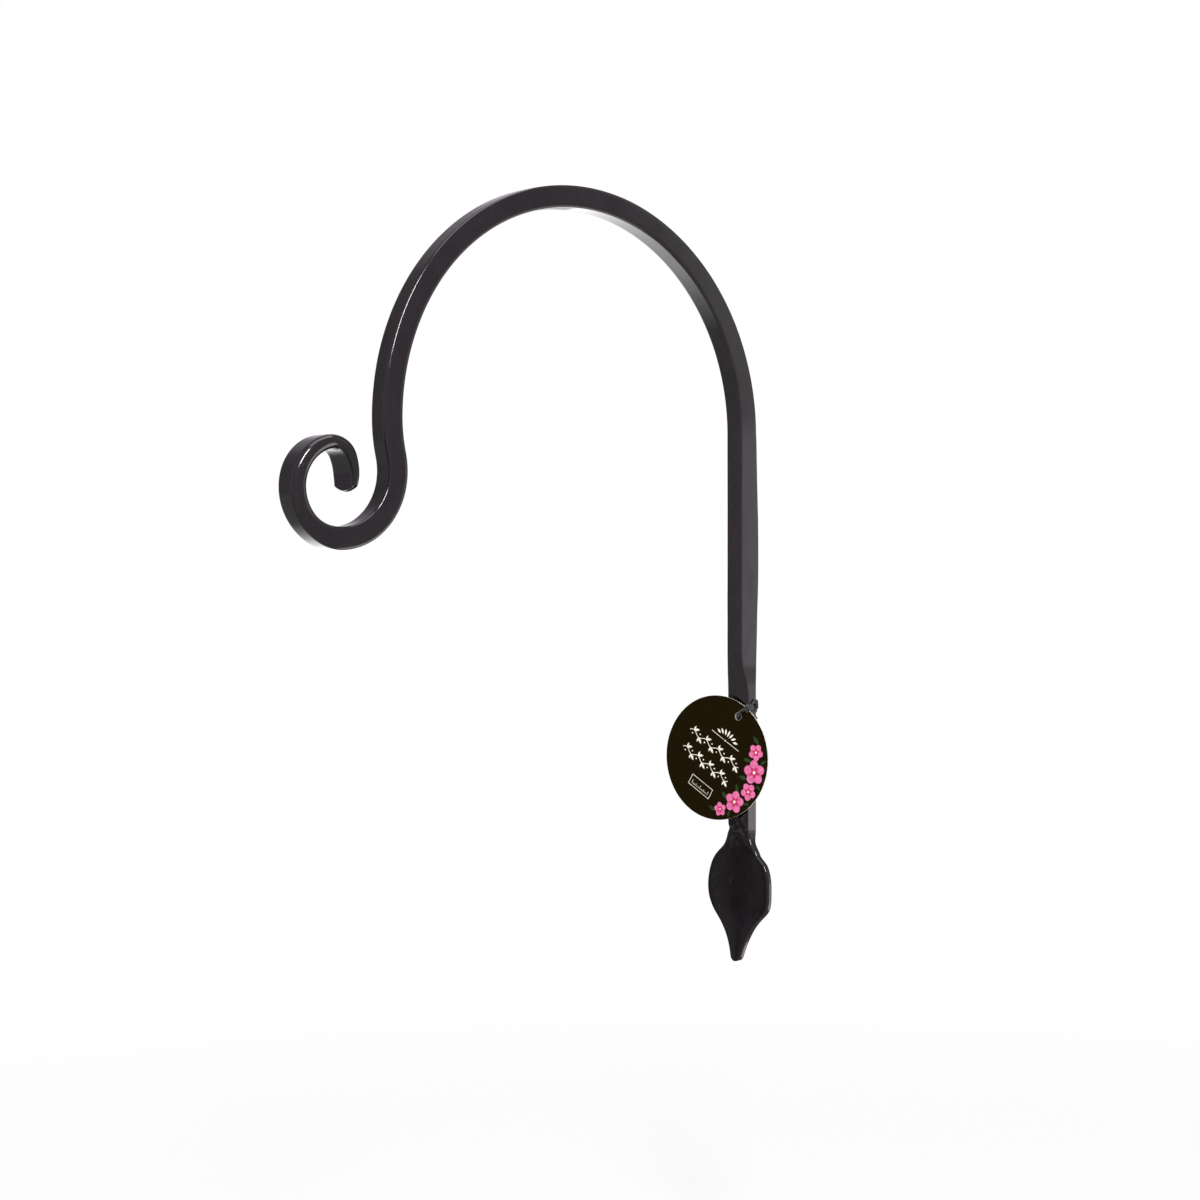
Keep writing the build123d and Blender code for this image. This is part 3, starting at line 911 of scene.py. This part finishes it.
def screw_tool(pad, height):
    """The two shapes that cut one countersunk hole, wide towards the pad's front."""
    put_down()
    depth = pad.screw_head - pad.screw_hole
    front = -pad.thickness
    turned = (0, math.pi / 2, 0)
    bpy.ops.mesh.primitive_cylinder_add(
        vertices=64, radius=pad.screw_hole, depth=0.03, location=(front / 2, 0, height), rotation=turned
    )
    shank = added("screw_shank")
    proud = 0.0006
    bpy.ops.mesh.primitive_cone_add(
        vertices=64,
        radius1=pad.screw_head + proud,
        radius2=pad.screw_hole,
        depth=depth + proud,
        location=(front + (depth - proud) / 2, 0, height),
        rotation=turned,
    )
    mouth = added("screw_mouth")
    return shank, mouth


class BRACKET_OT_forge_bar(bpy.types.Operator):
    """Forge the bar with its arch, scroll, screw pad and leaf"""

    bl_idname = "bracket.forge_bar"
    bl_label = "Forged bar"

    def execute(self, context):
        scene = context.scene
        bar, pad, leaf = scene.bracket_bar, scene.bracket_pad, scene.bracket_leaf
        blank = forge_straight(bar, pad, leaf)
        line = draw_centreline(bar, pad, leaf)
        bend_to_line(blank, line)
        hammer(blank, bar, pad)
        for height in (pad.screw_spacing / 2, -pad.screw_spacing / 2):
            for tool in screw_tool(pad, height):
                cut(blank, tool)
        tidy_mesh(blank)
        only(blank)
        bpy.ops.object.shade_smooth_by_angle(angle=math.radians(32))
        coat(blank, black_paint(scene.bracket_stage.paint_colour))
        finish_piece(blank, "black_paint", "hanger_bar")
        return {"FINISHED"}


# The card tag


def card_place(tag, pad):
    """The card's place: X across the card, Y up it, Z out of its printed face."""
    facing = Vector((-math.cos(tag.tilt), -math.sin(tag.tilt), 0))
    across = Vector((math.sin(tag.tilt), -math.cos(tag.tilt), 0))
    edge = Vector((-pad.thickness, -pad.width / 2, tag.height))
    middle = edge - tag.reach * across + (tag.stand_off + tag.thickness / 2) * facing
    place = Matrix((across, (0, 0, 1), facing)).transposed().to_4x4()
    place.translation = middle
    return place


def print_place(tag, pad):
    """The print's place on the card's face, turned clockwise on the card."""
    lift = Matrix.Translation((0, 0, tag.thickness / 2))
    return card_place(tag, pad) @ lift @ Matrix.Rotation(-tag.print_turn, 4, "Z")


def seat(piece, place):
    """Puts a piece that was drawn flat at the origin in its place on the card."""
    piece.matrix_world = place
    rest_in_mesh(piece)


def hole_burr(tag, pad):
    """The torn rim of the punched hole, higher on some sides than on others."""
    put_down()
    face = tag.thickness / 2
    bpy.ops.mesh.primitive_torus_add(
        major_radius=tag.hole + 0.00012, minor_radius=0.00017, major_segments=48, minor_segments=10,
        location=(tag.hole_across, tag.hole_up, face),
    )
    burr = added("tag_hole_burr")
    rest_in_mesh(burr)
    for vertex in burr.data.vertices:
        turn = math.atan2(vertex.co.y - tag.hole_up, vertex.co.x - tag.hole_across)
        vertex.co.z = face + (vertex.co.z - face) * (0.6 + 0.25 * math.sin(3 * turn + 0.6))
    only(burr)
    bpy.ops.object.shade_smooth()
    coat(burr, card("tag_burr", (0.20, 0.19, 0.18), 0.5))
    seat(burr, card_place(tag, pad))
    finish_piece(burr, "tag_card")


class BRACKET_OT_cut_tag(bpy.types.Operator):
    """Cut the round card with its punched hole"""

    bl_idname = "bracket.cut_tag"
    bl_label = "Card tag"

    def execute(self, context):
        scene = context.scene
        tag, pad = scene.bracket_tag, scene.bracket_pad
        put_down()
        bpy.ops.mesh.primitive_cylinder_add(vertices=200, radius=tag.radius, depth=tag.thickness)
        disc = added("tag_card")
        bpy.ops.mesh.primitive_cylinder_add(
            vertices=56, radius=tag.hole, depth=tag.thickness * 4, location=(tag.hole_across, tag.hole_up, 0)
        )
        punch = added("tag_punch")
        cut(disc, punch)
        ground = card("tag_ground", tuple(tag.ground_colour), 0.5, 0.15, 0.03)
        edge = card("tag_cut_edge", (0.72, 0.69, 0.62), 0.8)
        back = card("tag_back", (0.60, 0.57, 0.50), 0.75)
        coat(disc, ground, edge, back)
        for face in disc.data.polygons:
            face.material_index = 0 if face.normal.z > 0.5 else 2 if face.normal.z < -0.5 else 1
        only(disc)
        bpy.ops.object.shade_smooth_by_angle(angle=math.radians(30))
        seat(disc, card_place(tag, pad))
        finish_piece(disc, "tag_card", "tag")
        hole_burr(tag, pad)
        return {"FINISHED"}


# The print on the card


def flat_circle(name, across, along, middle=(0, 0), turn=0.0, points=20, pinch=0.0):
    """A flat oval in the print's plane. A pinch draws its two ends to points, as on a leaf."""
    put_down()
    bpy.ops.mesh.primitive_circle_add(vertices=points, radius=1.0, fill_type="NGON")
    piece = added(name)
    for vertex in piece.data.vertices:
        x, y = vertex.co.x, vertex.co.y
        y *= 1 - pinch * abs(x) ** 1.5
        vertex.co = (x * along * MM, y * across * MM, 0)
    piece.matrix_world = Matrix.Translation((middle[0] * MM, middle[1] * MM, 0)) @ Matrix.Rotation(turn, 4, "Z")
    rest_in_mesh(piece)
    return piece


def flat_bar(name, start, end, width):
    """A flat straight rule between two places."""
    put_down()
    bpy.ops.mesh.primitive_plane_add(size=1.0)
    piece = added(name)
    run = Vector(end) - Vector(start)
    piece.scale = (run.length * MM, width * MM, 1)
    piece.rotation_euler = (0, 0, math.atan2(run.y, run.x))
    middle = (Vector(start) + Vector(end)) / 2
    piece.location = (middle.x * MM, middle.y * MM, 0)
    rest_in_mesh(piece)
    return piece


def inked(pieces, name, layer, material, tag, pad):
    """Joins flat shapes, gives them the ink's thickness and lays them on the card in their layer."""
    piece = join(pieces, name)
    rest_in_mesh(piece)
    thick = piece.modifiers.new("Ink", "SOLIDIFY")
    thick.thickness = tag.ink
    thick.offset = 1.0
    apply_all(piece)
    coat(piece, material)
    piece.matrix_world = print_place(tag, pad) @ Matrix.Translation((0, 0, layer * tag.ink + 0.000004))
    rest_in_mesh(piece)
    finish_piece(piece, "tag_card")


def from_middle(reach, side, middle=(0, 0)):
    """The place at a distance and a direction from the card's middle, or from another place."""
    return (middle[0] + reach * math.cos(side), middle[1] + reach * math.sin(side))


def blossom(middle, size, turn):
    """One plain blossom: five outer petals, five inner ones and the middle."""
    outer, inner = [], []
    for k in range(5):
        side = turn + k * 2 * math.pi / 5
        place = from_middle(0.52 * size, side, middle)
        outer.append(flat_circle("petal", 0.40 * size, 0.46 * size, place, side, 18))
        side += math.pi / 5
        place = from_middle(0.24 * size, side, middle)
        inner.append(flat_circle("petal_inner", 0.15 * size, 0.26 * size, place, side, 12, 0.4))
    heart = flat_circle("heart", 0.13 * size, 0.13 * size, middle, 0, 12)
    return outer, inner, heart


def vine(start, end, swing, waves, leaf_size):
    """A running vine: a wavy stem with leaves and berries on either side of it."""
    pieces = []
    count = waves * 8
    run = Vector((end[0] - start[0], end[1] - start[1]))
    side = Vector((-run.y, run.x)).normalized()
    line = []
    for i in range(count + 1):
        share = i / count
        line.append(Vector(start) + run * share + side * swing * math.sin(share * waves * 2 * math.pi))
    for a, b in zip(line, line[1:]):
        pieces.append(flat_bar("stem", a - (b - a) * 0.15, b + (b - a) * 0.15, 0.42))
    for i in range(waves * 2):
        at = (i + 0.5) / (waves * 2)
        up = 1 if i % 2 == 0 else -1
        foot = Vector(start) + run * at + side * swing * up
        heading = math.atan2(run.y, run.x)
        for lean, reach in ((0.55, 1.0), (1.5, 0.7)):
            turn = heading + up * lean
            middle = foot + Vector((math.cos(turn), math.sin(turn))) * leaf_size * 0.62 * reach
            across, length = leaf_size * 0.24 * reach, leaf_size * 0.62 * reach
            pieces.append(flat_circle("vine_leaf", across, length, middle, turn, 16, 0.75))
        back = foot - side * up * swing * 2.1
        pieces.append(flat_circle("berry", 0.42, 0.42, back, 0, 12))
    return pieces


def cream_print():
    """The pale print: two vines, a spray of leaves over a rule, and a frame with a row of ticks."""
    cream = []
    for start, end in VINES:
        cream += vine(start, end, 1.0, 4, 3.1)
    for k in range(7):
        side = k - 3
        turn = math.pi / 2 - side * 0.42
        place = (side * 2.1, 15.6 - 0.22 * side * side)
        cream.append(flat_circle("spray_leaf", 0.62, 2.0 - 0.12 * abs(side), place, turn, 16, 0.7))
    cream.append(flat_bar("rule", (-10.5, RULE_HEIGHT), (-1.2, RULE_HEIGHT), 0.3))
    cream.append(flat_bar("rule", (1.2, RULE_HEIGHT), (10.5, RULE_HEIGHT), 0.3))
    cream.append(flat_circle("bead", 0.6, 0.6, (0, RULE_HEIGHT), math.pi / 4, 4))
    for a, b in zip(FRAME_CORNERS, FRAME_CORNERS[1:] + FRAME_CORNERS[:1]):
        run = (Vector(b) - Vector(a)).normalized() * 0.14
        cream.append(flat_bar("frame", Vector(a) - run, Vector(b) + run, 0.28))
    for k in range(13):
        height = 2.2 if k % 6 == 0 else 1.5 if k % 3 == 0 else 0.9
        x = -6.5 + k * 1.0
        cream.append(flat_bar("tick", (x, TICK_FOOT), (x, TICK_FOOT + height), 0.24))
    return cream


class BRACKET_OT_print_tag(bpy.types.Operator):
    """Print the card: running vines, a spray over a rule, a framed row of ticks and a garland of blossoms"""

    bl_idname = "bracket.print_tag"
    bl_label = "Tag print"

    def execute(self, context):
        scene = context.scene
        tag, pad = scene.bracket_tag, scene.bracket_pad
        cream = cream_print()
        petals, inner, hearts, leaves = [], [], [], []
        for degrees, reach, size, turn in GARLAND:
            middle = from_middle(reach, math.radians(degrees))
            outer_here, inner_here, heart = blossom(middle, size, turn)
            petals += outer_here
            inner += inner_here
            hearts.append(heart)
        for degrees, reach, size, lean in GARLAND_LEAVES:
            side = math.radians(degrees)
            middle = from_middle(reach, side)
            leaves.append(flat_circle("garland_leaf", size * 0.42, size, middle, side + lean, 18, 0.6))
        pale = card("tag_ink_cream", tuple(tag.cream_colour), 0.45, 0.06)
        green = card("tag_ink_leaf", tuple(tag.leaf_colour), 0.45, 0.35)
        deep = card("tag_ink_deep", tuple(tag.deep_colour), 0.45, 0.25)
        inked(cream, "print_cream", 0, pale, tag, pad)
        inked(leaves, "print_leaves", 0, green, tag, pad)
        inked(petals, "print_petals", 1, petal_ink(tag), tag, pad)
        inked(inner, "print_inner_petals", 2, deep, tag, pad)
        inked(hearts, "print_hearts", 3, pale, tag, pad)
        return {"FINISHED"}


# The tie


def knot_place(pad, tie):
    """The knot's middle, on the pad's front right edge above the card."""
    return Vector((-pad.thickness - 1.6 * tie.radius, -pad.width / 2 - 1.2 * tie.radius, KNOT_HEIGHT))


def knot_places(pad, tie):
    """The knot's own line: a small trefoil."""
    places = []
    for i in range(KNOT_POINTS):
        turn = 2 * math.pi * i / KNOT_POINTS
        reach = 2 + math.cos(3 * turn)
        local = Vector((reach * math.cos(2 * turn), reach * math.sin(2 * turn), math.sin(3 * turn))) * KNOT_SIZE
        local.rotate(Matrix.Rotation(math.radians(-40), 3, "Z") @ Matrix.Rotation(math.radians(80), 3, "Y"))
        places.append(knot_place(pad, tie) + local)
    return places


def tie_route(tag, pad, tie):
    """The route's points: over the card's face and edge, three times round the pad, and back behind the card.

    Each corner of the ring round the pad has a point a little before and after it, to keep its bend short."""
    place = card_place(tag, pad)
    clear = tie.radius + 0.00012
    off_card = tag.thickness / 2 + clear
    side = pad.width / 2 + clear
    front = -pad.thickness - clear
    back = clear
    hole = Vector((tag.hole_across, tag.hole_up, 0))
    rim = hole.normalized() * (tag.radius + 0.0013)
    rim.rotate(Matrix.Rotation(math.radians(-4), 3, "Z"))
    top, low = 0.0322, 0.0228
    near = 0.0016
    # How far the uneven turns stand out from the pad's right edge.
    bulge = 0.0007

    def on_card(point, lift):
        return place @ (point + Vector((0, 0, lift)))

    points = [on_card(hole, 0.0), on_card(hole * 1.02, off_card + 0.0001)]
    points += [on_card(hole * 1.12, off_card + 0.0001), on_card(rim * 0.97, off_card)]
    points += [on_card(rim * 1.01, off_card * 0.6)]
    knot = knot_place(pad, tie)
    ring = [
        knot,
        (back - 0.0016, -side - bulge, top),
        (back - 0.0008, -side - 0.4 * bulge, 0.0274),
        (back, side, top - 0.0030),
        (front, side, top - 0.0036),
        knot - Vector((0.0004, 0.0003, 0.0009)),
        (back - 0.0016, -side - bulge, low - 0.0008),
        (back, side, low + 0.0005),
        (front, side, low + 0.0010),
        (front - 0.0002, -side, low + 0.0016),
        (back - 0.0014, -side - 0.6 * bulge, 0.0262),
        (back, side, 0.0255),
        (front, side, 0.0250),
    ]
    before = points[-1]
    for i, corner in enumerate(ring):
        corner = Vector(corner)
        after = Vector(ring[i + 1]) if i + 1 < len(ring) else on_card(hole, -off_card)
        points.append(corner + (before - corner).normalized() * near)
        points.append(corner)
        points.append(corner + (after - corner).normalized() * near)
        before = corner
    points += [on_card(hole * 0.98, -off_card)]
    return points


def route_points(points):
    """Points read from the route's closed NURBS spline."""
    data = bpy.data.curves.new("tie_route", "CURVE")
    data.dimensions = "3D"
    spline = data.splines.new("NURBS")
    spline.points.add(len(points) - 1)
    for point, place in zip(spline.points, points):
        point.co = (*place, 1.0)
    spline.use_cyclic_u = True
    spline.order_u = 3
    data.resolution_u = 12
    route = placed("tie_route", data)
    line = bpy.data.meshes.new_from_object(route)
    places = [v.co.copy() for v in line.vertices]
    bpy.data.objects.remove(route)
    bpy.data.meshes.remove(line)
    return places


def even_points(places, count):
    """Evenly spaced points round a closed line."""
    loop = places + [places[0]]
    lengths = [0.0]
    for a, b in zip(loop, loop[1:]):
        lengths.append(lengths[-1] + (b - a).length)
    total = lengths[-1]
    out = []
    k = 0
    for i in range(count):
        at = total * i / count
        while lengths[k + 1] < at:
            k += 1
        share = (at - lengths[k]) / max(lengths[k + 1] - lengths[k], 1e-12)
        out.append(loop[k].lerp(loop[k + 1], share))
    return out, total


def strand(places, total, tie, number):
    """One strand: a helix round the closed route, as a round tube."""
    count = len(places)
    turns = round(total / tie.twist)
    gauge = tie.radius * (0.56 if tie.strands == 2 else 0.5)
    swing = tie.radius - gauge
    tangents = [(places[(i + 1) % count] - places[i - 1]).normalized() for i in range(count)]
    normal = tangents[0].orthogonal().normalized()
    normals = []
    for i in range(count):
        normal = (normal - tangents[i] * normal.dot(tangents[i])).normalized()
        normals.append(normal.copy())
    last = (normals[-1] - tangents[0] * normals[-1].dot(tangents[0])).normalized()
    drift = math.atan2(normals[0].cross(last).dot(tangents[0]), normals[0].dot(last))
    data = bpy.data.curves.new("tie_strand", "CURVE")
    data.dimensions = "3D"
    data.bevel_depth = gauge
    data.bevel_resolution = 2
    spline = data.splines.new("POLY")
    spline.points.add(count - 1)
    for i, place in enumerate(places):
        turn = 2 * math.pi * (turns * i / count + number / tie.strands) - drift * i / count
        side = tangents[i].cross(normals[i])
        out = place + swing * (math.cos(turn) * normals[i] + math.sin(turn) * side)
        spline.points[i].co = (*out, 1.0)
    spline.use_cyclic_u = True
    piece = placed("tie_strand", data)
    only(piece)
    bpy.ops.object.convert(target="MESH")
    return piece


class BRACKET_OT_twist_tie(bpy.types.Operator):
    """Twist the cord that holds the card to the pad"""

    bl_idname = "bracket.twist_tie"
    bl_label = "Tie"

    def execute(self, context):
        scene = context.scene
        tag, pad, tie = scene.bracket_tag, scene.bracket_pad, scene.bracket_tie
        places, total = even_points(route_points(tie_route(tag, pad, tie)), 620)
        strands = [strand(places, total, tie, number) for number in range(tie.strands)]
        knot, length = even_points(knot_places(pad, tie), 120)
        strands += [strand(knot, length, tie, number) for number in range(tie.strands)]
        cord = join(strands, "tie_twisted_cord")
        tidy_mesh(cord, 0.000001)
        only(cord)
        bpy.ops.object.shade_smooth()
        coat(cord, twisted_cord(tie.colour))
        finish_piece(cord, "tie_cord", "tag_tie")
        return {"FINISHED"}


# The studio


def camera(stage):
    """The camera at the photograph's place."""
    data = bpy.data.cameras.new("camera")
    data.lens = stage.lens
    data.sensor_width = 36.0
    data.clip_start = 0.01
    data.clip_end = 100.0
    view = placed("camera", data)
    right, back = Vector(CAMERA_RIGHT), Vector(CAMERA_BACK)
    up = back.cross(right).normalized()
    right = up.cross(back).normalized()
    place = Matrix((right, up, back.normalized())).transposed().to_4x4()
    place.translation = CAMERA_PLACE
    view.matrix_world = place
    bpy.context.scene.camera = view


def lamp(name, place, target, size, power):
    """A soft square lamp that looks at a point."""
    data = bpy.data.lights.new(name, "AREA")
    data.size = size
    data.energy = power
    piece = placed(name, data)
    piece.location = place
    piece.rotation_euler = (Vector(target) - Vector(place)).to_track_quat("-Z", "Y").to_euler()
    return piece


def seen_or_lit(tree, seen, lit):
    """One shader for the camera and for reflections, another for the light it gives."""
    rays = tree.nodes.new("ShaderNodeLightPath").outputs
    looking = calculated(tree, "MAXIMUM", rays["Is Camera Ray"], rays["Is Glossy Ray"])
    looking = calculated(tree, "MAXIMUM", looking, rays["Is Transmission Ray"])
    return mixed(tree, looking, lit, seen)


def dot(tree, coordinates, direction):
    """How far a place or a direction lies along another direction."""
    node = tree.nodes.new("ShaderNodeVectorMath")
    node.operation = "DOT_PRODUCT"
    node.inputs[1].default_value = direction
    tree.links.new(coordinates, node.inputs[0])
    return node.outputs["Value"]


def levels(tree, value, stops):
    """A grey level read from stops, each a value from -1 to 1 and the level there."""
    node = tree.nodes.new("ShaderNodeValToRGB")
    tree.links.new(spread(tree, value, -1.0, 1.0, 0.0, 1.0), node.inputs["Fac"])
    points = node.color_ramp.elements
    while len(points) < len(stops):
        points.new(0.5)
    for point, (at, level) in zip(points, stops):
        point.position = (at + 1) / 2
        point.color = (level, level * 0.92, level * 1.02, 1)
    return node.outputs["Color"]


def studio_world(stage):
    """White to the camera, a plain soft light for the rest, and grey walls by direction in the paint's gloss."""
    world = bpy.data.worlds.new("studio")
    bpy.context.scene.world = world
    world.use_nodes = True
    tree = world.node_tree
    lit = tree.nodes["Background"]
    lit.inputs["Color"].default_value = (1, 1, 1, 1)
    lit.inputs["Strength"].default_value = stage.world_light
    seen = tree.nodes.new("ShaderNodeBackground")
    seen.inputs["Color"].default_value = (1, 1, 1, 1)
    seen.inputs["Strength"].default_value = 1.0
    direction = tree.nodes.new("ShaderNodeTexCoord").outputs["Generated"]
    walls = tree.nodes.new("ShaderNodeBackground")
    walls.inputs["Strength"].default_value = stage.wall_level
    tree.links.new(levels(tree, dot(tree, direction, AWAY), WALLS), walls.inputs["Color"])
    glossy = tree.nodes.new("ShaderNodeLightPath").outputs["Is Glossy Ray"]
    shown = mixed(tree, glossy, seen.outputs[0], walls.outputs[0])
    out = tree.nodes["World Output"]
    tree.links.new(seen_or_lit(tree, shown, lit.outputs[0]), out.inputs["Surface"])


def floor_finish():
    """Matt white that keeps the shadow near the bracket, and is plain white to the camera further off."""
    material, tree, shader = new_material("studio_floor")
    shader.inputs["Base Color"].default_value = (0.94, 0.94, 0.94, 1)
    shader.inputs["Roughness"].default_value = 1.0
    shader.inputs["Specular IOR Level"].default_value = 0.0
    glow = tree.nodes.new("ShaderNodeEmission")
    glow.inputs["Color"].default_value = (1, 1, 1, 1)
    glow.inputs["Strength"].default_value = 1.0
    distance = tree.nodes.new("ShaderNodeVectorMath")
    distance.operation = "LENGTH"
    tree.links.new(own_place(tree), distance.inputs[0])
    share = spread(tree, distance.outputs["Value"], 0.45, 1.1, 0.85, 1.0)
    shown = mixed(tree, share, shader.outputs[0], glow.outputs[0])
    out = tree.nodes["Material Output"]
    tree.links.new(seen_or_lit(tree, shown, shader.outputs[0]), out.inputs["Surface"])
    return material


def reflector(name, place, target, size):
    """A card that only the paint's gloss shows, and its emission with the card's own coordinates."""
    put_down()
    bpy.ops.mesh.primitive_plane_add(size=1.0)
    piece = added(name)
    piece.scale = (size[0], size[1], 1)
    rest_in_mesh(piece)
    piece.location = place
    if target is not None:
        piece.rotation_euler = (Vector(target) - Vector(place)).to_track_quat("Z", "Y").to_euler()
    material, tree, _ = new_material(name)
    glow = tree.nodes.new("ShaderNodeEmission")
    tree.links.new(glow.outputs[0], tree.nodes["Material Output"].inputs["Surface"])
    piece.data.materials.append(material)
    only_in_gloss(piece)
    return tree, glow, own_place(tree)


def along(tree, coordinates, direction, start=0.0):
    """How far a place lies along a direction, from a start."""
    reach = dot(tree, coordinates, direction)
    add = tree.nodes.new("ShaderNodeMath")
    add.inputs[1].default_value = -start
    tree.links.new(reach, add.inputs[0])
    return add.outputs[0]


def dark_card(stage):
    """The dark card that the leaf mirrors, with a darker band across it."""
    tree, glow, here = reflector("dark_card", *DARK_CARD)
    across = along(tree, here, (1.0, -0.156, 0), -0.0255)
    left = spread(tree, across, -0.003, -0.016, 0.0, stage.dark_card)
    right = spread(tree, across, 0.005, 0.011, 0.0, 0.8 * stage.dark_card)
    tree.links.new(calculated(tree, "MAXIMUM", left, right), glow.inputs["Strength"])


def bright_table(stage):
    """The bright table behind the bracket, dimmer to the left."""
    middle = Vector((0.0, 2.15, stage.floor_height - 0.001))
    tree, glow, here = reflector("bright_table", middle, None, (6.0, 4.0))
    (left, dim), (between, mid), (right, bright) = TABLE
    place = along(tree, here, (1.0, 0, 0))
    near = spread(tree, place, left, between, dim, mid)
    far = spread(tree, place, between, right, 0.0, bright - mid)
    tree.links.new(calculated(tree, "ADD", near, far), glow.inputs["Strength"])


def bright_card(stage):
    """The bright card low at the right, which the right sides of the pad and the leaf mirror."""
    tree, glow, here = reflector("bright_card", *BRIGHT_CARD)
    glow.inputs["Color"].default_value = (1.0, 0.90, 0.84, 1)
    height = along(tree, here, (0, 1.0, 0))
    level = spread(tree, height, 0.22, 0.06, 0.78 * stage.bright_card, stage.bright_card)
    tree.links.new(level, glow.inputs["Strength"])


def only_in_gloss(piece):
    """Hides a stage piece from every kind of ray but reflections."""
    for rays in ("camera", "diffuse", "transmission", "shadow", "volume_scatter"):
        setattr(piece, "visible_" + rays, False)


def side_card(stage):
    """The grey card above the side lamp, which the tilted side of the pad's shoulder mirrors."""
    _, glow, _ = reflector("side_card", *SIDE_CARD)
    glow.inputs["Strength"].default_value = stage.side_card


def bright_strip(stage):
    """The bright strip beside the main lamp, for the long thin highlights on the rounded edges."""
    _, glow, _ = reflector("bright_strip", *BRIGHT_STRIP)
    glow.inputs["Strength"].default_value = stage.bright_strip


class BRACKET_OT_set_stage(bpy.types.Operator):
    """Set the camera, the pale floor and the soft light"""

    bl_idname = "bracket.set_stage"
    bl_label = "Studio"

    def execute(self, context):
        scene = context.scene
        stage = scene.bracket_stage
        scene.view_settings.view_transform = "Standard"
        camera(stage)
        studio_world(stage)
        put_down()
        bpy.ops.mesh.primitive_plane_add(size=90.0, location=(0, 0, stage.floor_height))
        floor = added("floor")
        floor.data.materials.append(floor_finish())
        rest_in_mesh(floor)
        floor.visible_glossy = False
        dark_card(stage)
        bright_table(stage)
        bright_card(stage)
        bright_strip(stage)
        side_card(stage)
        key = lamp("key", *KEY_LAMP, stage.key_power)
        key.data.shape = "RECTANGLE"
        key.data.size_y = KEY_LENGTH
        lamp("top", *TOP_LAMP, stage.top_power)
        side = lamp("side", *SIDE_LAMP, stage.side_power)
        side.data.color = (1.0, 0.95, 1.03)
        return {"FINISHED"}


class BRACKET_PT_sidebar(bpy.types.Panel):
    """The bracket's pieces, in the order in which they are made"""

    bl_idname = "BRACKET_PT_sidebar"
    bl_label = "Hanging basket bracket"
    bl_space_type = "VIEW_3D"
    bl_region_type = "UI"
    bl_category = "Bracket"

    def draw(self, context):
        for step in STEPS:
            self.layout.operator(step)
        scene = context.scene
        for name in SIZES:
            box = self.layout.box()
            sizes = getattr(scene, name)
            for key in sizes.bl_rna.properties.keys():
                if key not in ("rna_type", "name"):
                    box.prop(sizes, key)


STEPS = ("bracket.forge_bar", "bracket.cut_tag", "bracket.print_tag", "bracket.twist_tie", "bracket.set_stage")
SIZES = {
    "bracket_bar": BracketBarSizes,
    "bracket_pad": BracketPadSizes,
    "bracket_leaf": BracketLeafSizes,
    "bracket_tag": BracketTagSizes,
    "bracket_tie": BracketTieSizes,
    "bracket_stage": BracketStageSizes,
}
CLASSES = (
    BRACKET_OT_forge_bar,
    BRACKET_OT_cut_tag,
    BRACKET_OT_print_tag,
    BRACKET_OT_twist_tie,
    BRACKET_OT_set_stage,
    BRACKET_PT_sidebar,
)


def register():
    """Registers the sizes, the operators and the panel."""
    for name, group in SIZES.items():
        bpy.utils.register_class(group)
        setattr(bpy.types.Scene, name, PointerProperty(type=group))
    for cls in CLASSES:
        bpy.utils.register_class(cls)


def unregister():
    """Takes them away again."""
    for cls in reversed(CLASSES):
        bpy.utils.unregister_class(cls)
    for name, group in SIZES.items():
        delattr(bpy.types.Scene, name)
        bpy.utils.unregister_class(group)


def main():
    """Builds the bracket piece by piece, then its studio."""
    register()
    bpy.ops.bracket.forge_bar()
    bpy.ops.bracket.cut_tag()
    bpy.ops.bracket.print_tag()
    bpy.ops.bracket.twist_tie()
    bpy.ops.bracket.set_stage()


if __name__ == "__main__":
    main()
